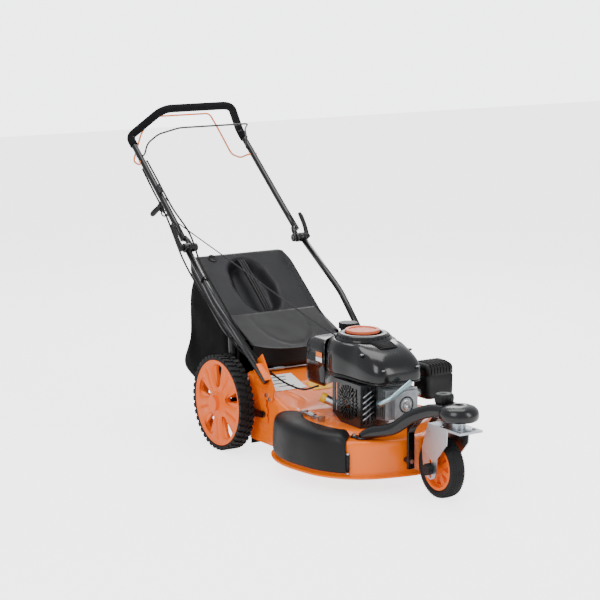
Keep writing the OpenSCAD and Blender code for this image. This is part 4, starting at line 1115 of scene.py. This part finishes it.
def lid_spot(share, side):
    """A point of the lid's skin, share 0 at its top back edge and 1 at its front."""
    x = lid_back + lid_length * share
    past_x, past_y = corner_x - x, abs(side) - corner_y
    past = math.hypot(past_x, past_y)
    if past_x > 0 and past_y > 0 and past > lid_corner:
        pull = lid_corner / past
        x, side = corner_x - past_x * pull, math.copysign(corner_y + past_y * pull, side)
    z = float(np.interp(x, [-349, -341, -330, -120, -90, -8], [548, 553, 552, 388, 371, 339]))
    z -= 7 * smooth_step(150, lid_half, abs(side)) ** 2
    spot = Vector((x, side, z))
    along = (spot - bowl_middle).dot(bowl_along)
    near = max(min(along, bowl_half_length), -bowl_half_length)
    reach = bowl_radius - abs(near) / 6 - math.hypot(along - near, side)
    spot -= bowl_out * bowl_depth * smooth_step(-3, 26, reach)
    return spot


points = []
lid_rows, lid_columns = 72, 77
side_wall, back_wall = 17, 18
for i in range(lid_rows):
    for j in range(lid_columns):
        side = max(min(-195 + 390 * j / (lid_columns - 1), lid_half), -lid_half)
        spot = lid_spot(i / (lid_rows - 1), side)
        if j in (0, lid_columns - 1):
            spot.z -= side_wall
        points.append(at(*spot))
for j in range(lid_columns):
    spot = points[j].copy()
    spot.z -= back_wall / MM
    points.append(spot)
faces = grid_faces(lid_rows, lid_columns)
wall_start = lid_rows * lid_columns
faces += [(j + 1, j, wall_start + j, wall_start + j + 1) for j in range(lid_columns - 1)]
lid = add_piece("bag_lid_moulding", points, faces, "grass_bag", lid_plastic, ["bag_lid"])
modify(lid, "SOLIDIFY", thickness=0.003, offset=-1)
carrier_half = 8.6
carrier_view = [(-131, -20), (-124, -8), (-108, 0.5), (-70, 3.4), (0, 4.6), (70, 3.4), (108, 0.5),
                (124, -8), (131, -20)]
bars = []
for side in (-carrier_half, 0, carrier_half):
    run = []
    for along, rise in carrier_view:
        spot = bowl_middle + bowl_along * along + bowl_out * rise
        run.append(at(spot.x, side, spot.z))
    bars.append(tube_mesh(spline_route(run, 4), 0.0046, 12, up=bowl_out))
for along in range(-90, 91, 15):
    spot = bowl_middle + bowl_along * along + bowl_out * 0.4
    rung = points_at([(spot.x, -carrier_half, spot.z), (spot.x, carrier_half, spot.z)])
    bars.append(tube_mesh(rung, 0.0026, 8))
carrier = add_piece("lid_carrying_handle", *joined(*bars), "grass_bag", grained_plastic)
disc_profile = [(-1.4, 0.2), (-1.4, 16), (1, 16), (2.2, 14.6), (2.2, 12), (1.4, 11.4), (1.4, 0.2)]
disc_points, disc_faces = lathe(disc_profile, Vector(), "z", 48)
disc_spot = lid_spot((-322 - lid_back) / lid_length, -98)
disc_turn = Euler((0, bowl_slope, 0))
for spot in disc_points:
    spot.rotate(disc_turn)
disc_points = [spot + at(*disc_spot) + bowl_out * 0.0006 for spot in disc_points]
indicator = add_piece("bag_full_indicator", disc_points, disc_faces, "grass_bag", grained_plastic)

# ---- Clamp levers ----
# Cam levers of nylon on the handle's pivot bolts, with a hooked grip; each swings outwards.
lever_corners = [(-274, 238, 600), (-282, 239, 606), (-300, 243, 629), (-318, 242.5, 654), (-330, 240, 670)]
for side, label in ((1, "left"), (-1, "right")):
    lever_route = spline_route(points_at([(x, side * y, z) for x, y, z in lever_corners]), 5)
    lever_widths = widths_along(lever_route, [0, 0.2, 0.5, 0.85, 1], [8.2, 8.2, 7.6, 7.8, 5.6])
    lever = tube_mesh(lever_route, lever_widths, 14, flat=0.75)
    hub_low, hub_high = at(-271.5, side * 238, 601.8), at(-284.5, side * 238, 592.2)
    cam = tube_mesh([hub_low, hub_low.lerp(hub_high, 0.08), hub_low.lerp(hub_high, 0.92), hub_high],
                    [0.0072, 0.0084, 0.0084, 0.0072], 24)
    clamp = add_piece("clamp_cam_" + label, *joined(lever, cam), "clamp_lever_" + label, grained_plastic,
                      ["clamp_lever_" + label])

# ---- Cable tie ----
# A moulded nylon tie pulled tight round the lower right tube, where the cables run past it.
tie = add_piece("cable_tie", *lathe([(-2, 12.6), (-1.6, 13.6), (1.6, 13.6), (2, 12.6), (2, 10.3), (-2, 10.3)],
                at(-150, -226, 510), "x", 32), "chassis", grained_plastic)

# ---- Starter grip ----
# A moulded T grip, its stem resting in a wire eye on the handle; the rope is knotted inside it.
bar_route = spline_route(points_at([(-544, -200, 670), (-524, -196.5, 686), (-509, -193.5, 698),
                                    (-492, -190, 713), (-474, -186, 728)]), 5)
bar_widths = widths_along(bar_route, [0, 0.08, 0.3, 0.5, 0.7, 0.92, 1], [7, 9.6, 9.2, 8, 9.2, 9.6, 7])
stem_route = points_at([(-510, -193, 698), (-502, -191.6, 693), (-495, -190.3, 689)])
stem = tube_mesh(stem_route, [0.0064, 0.006, 0.0056], 16)
tee = add_piece("starter_tee", *joined(tube_mesh(bar_route, bar_widths, 20), stem), "starter_grip",
                grained_plastic, ["starter_grip"])

# ---- Rope and control cables ----
# The starter rope runs from its eye to the starter; two sheathed cables run from the bails'
# levers down the right tube to the engine brake and the gearbox.
# Braided polyester: matt, with the braid's bumps in relief.
rope_fibre = surface("braided_starter_rope", ("1a1a1c", "26262a"), (0.7, 0.85), 8, 0.9, 0.3)


def length_of(route):
    """The length of a route in metres."""
    return sum((b - a).length for a, b in zip(route, route[1:]))


def run_cord(name, corners, radius_mm, node, material):
    """A cord through its corners, built as a fixed tube in place of its CAD node, with its transform baked
    in.
    """
    route = spline_route(points_at(corners), 6)
    made = add_piece(name, *tube_mesh(route, radius_mm / MM, 12), None, material, [node])
    tuple(route[0])
    length_of(route)
    [tuple(p) for p in route]
    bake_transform(made)


rope_corners = [(-488, -189, 685), (-300, -154, 616), (-80, -116, 538), (140, -80, 460), (336, -43, 393)]
brake_run = [on_handle(380, 15, -206), on_handle(300, 16, -206), on_handle(160, 17, -206),
             (-290, -200, 640), (-180, -222, 560), (-66, -220, 470), (60, -192, 330), (150, -150, 250),
             (260, -125, 226), (340, -112, 250)]
drive_run = [on_handle(372, -15, -216), on_handle(280, -16, -218), on_handle(150, -16, -220),
             (-282, -234, 570), (-170, -246, 500), (-78, -246, 440), (30, -218, 330), (120, -160, 260),
             (130, -140, 246)]
run_cord("starter_rope_braid", rope_corners, 2, "starter_rope", rope_fibre)
run_cord("brake_cable", brake_run, 3, "control_cables", black_rubber)
run_cord("drive_cable", drive_run, 3, "control_cables", black_rubber)
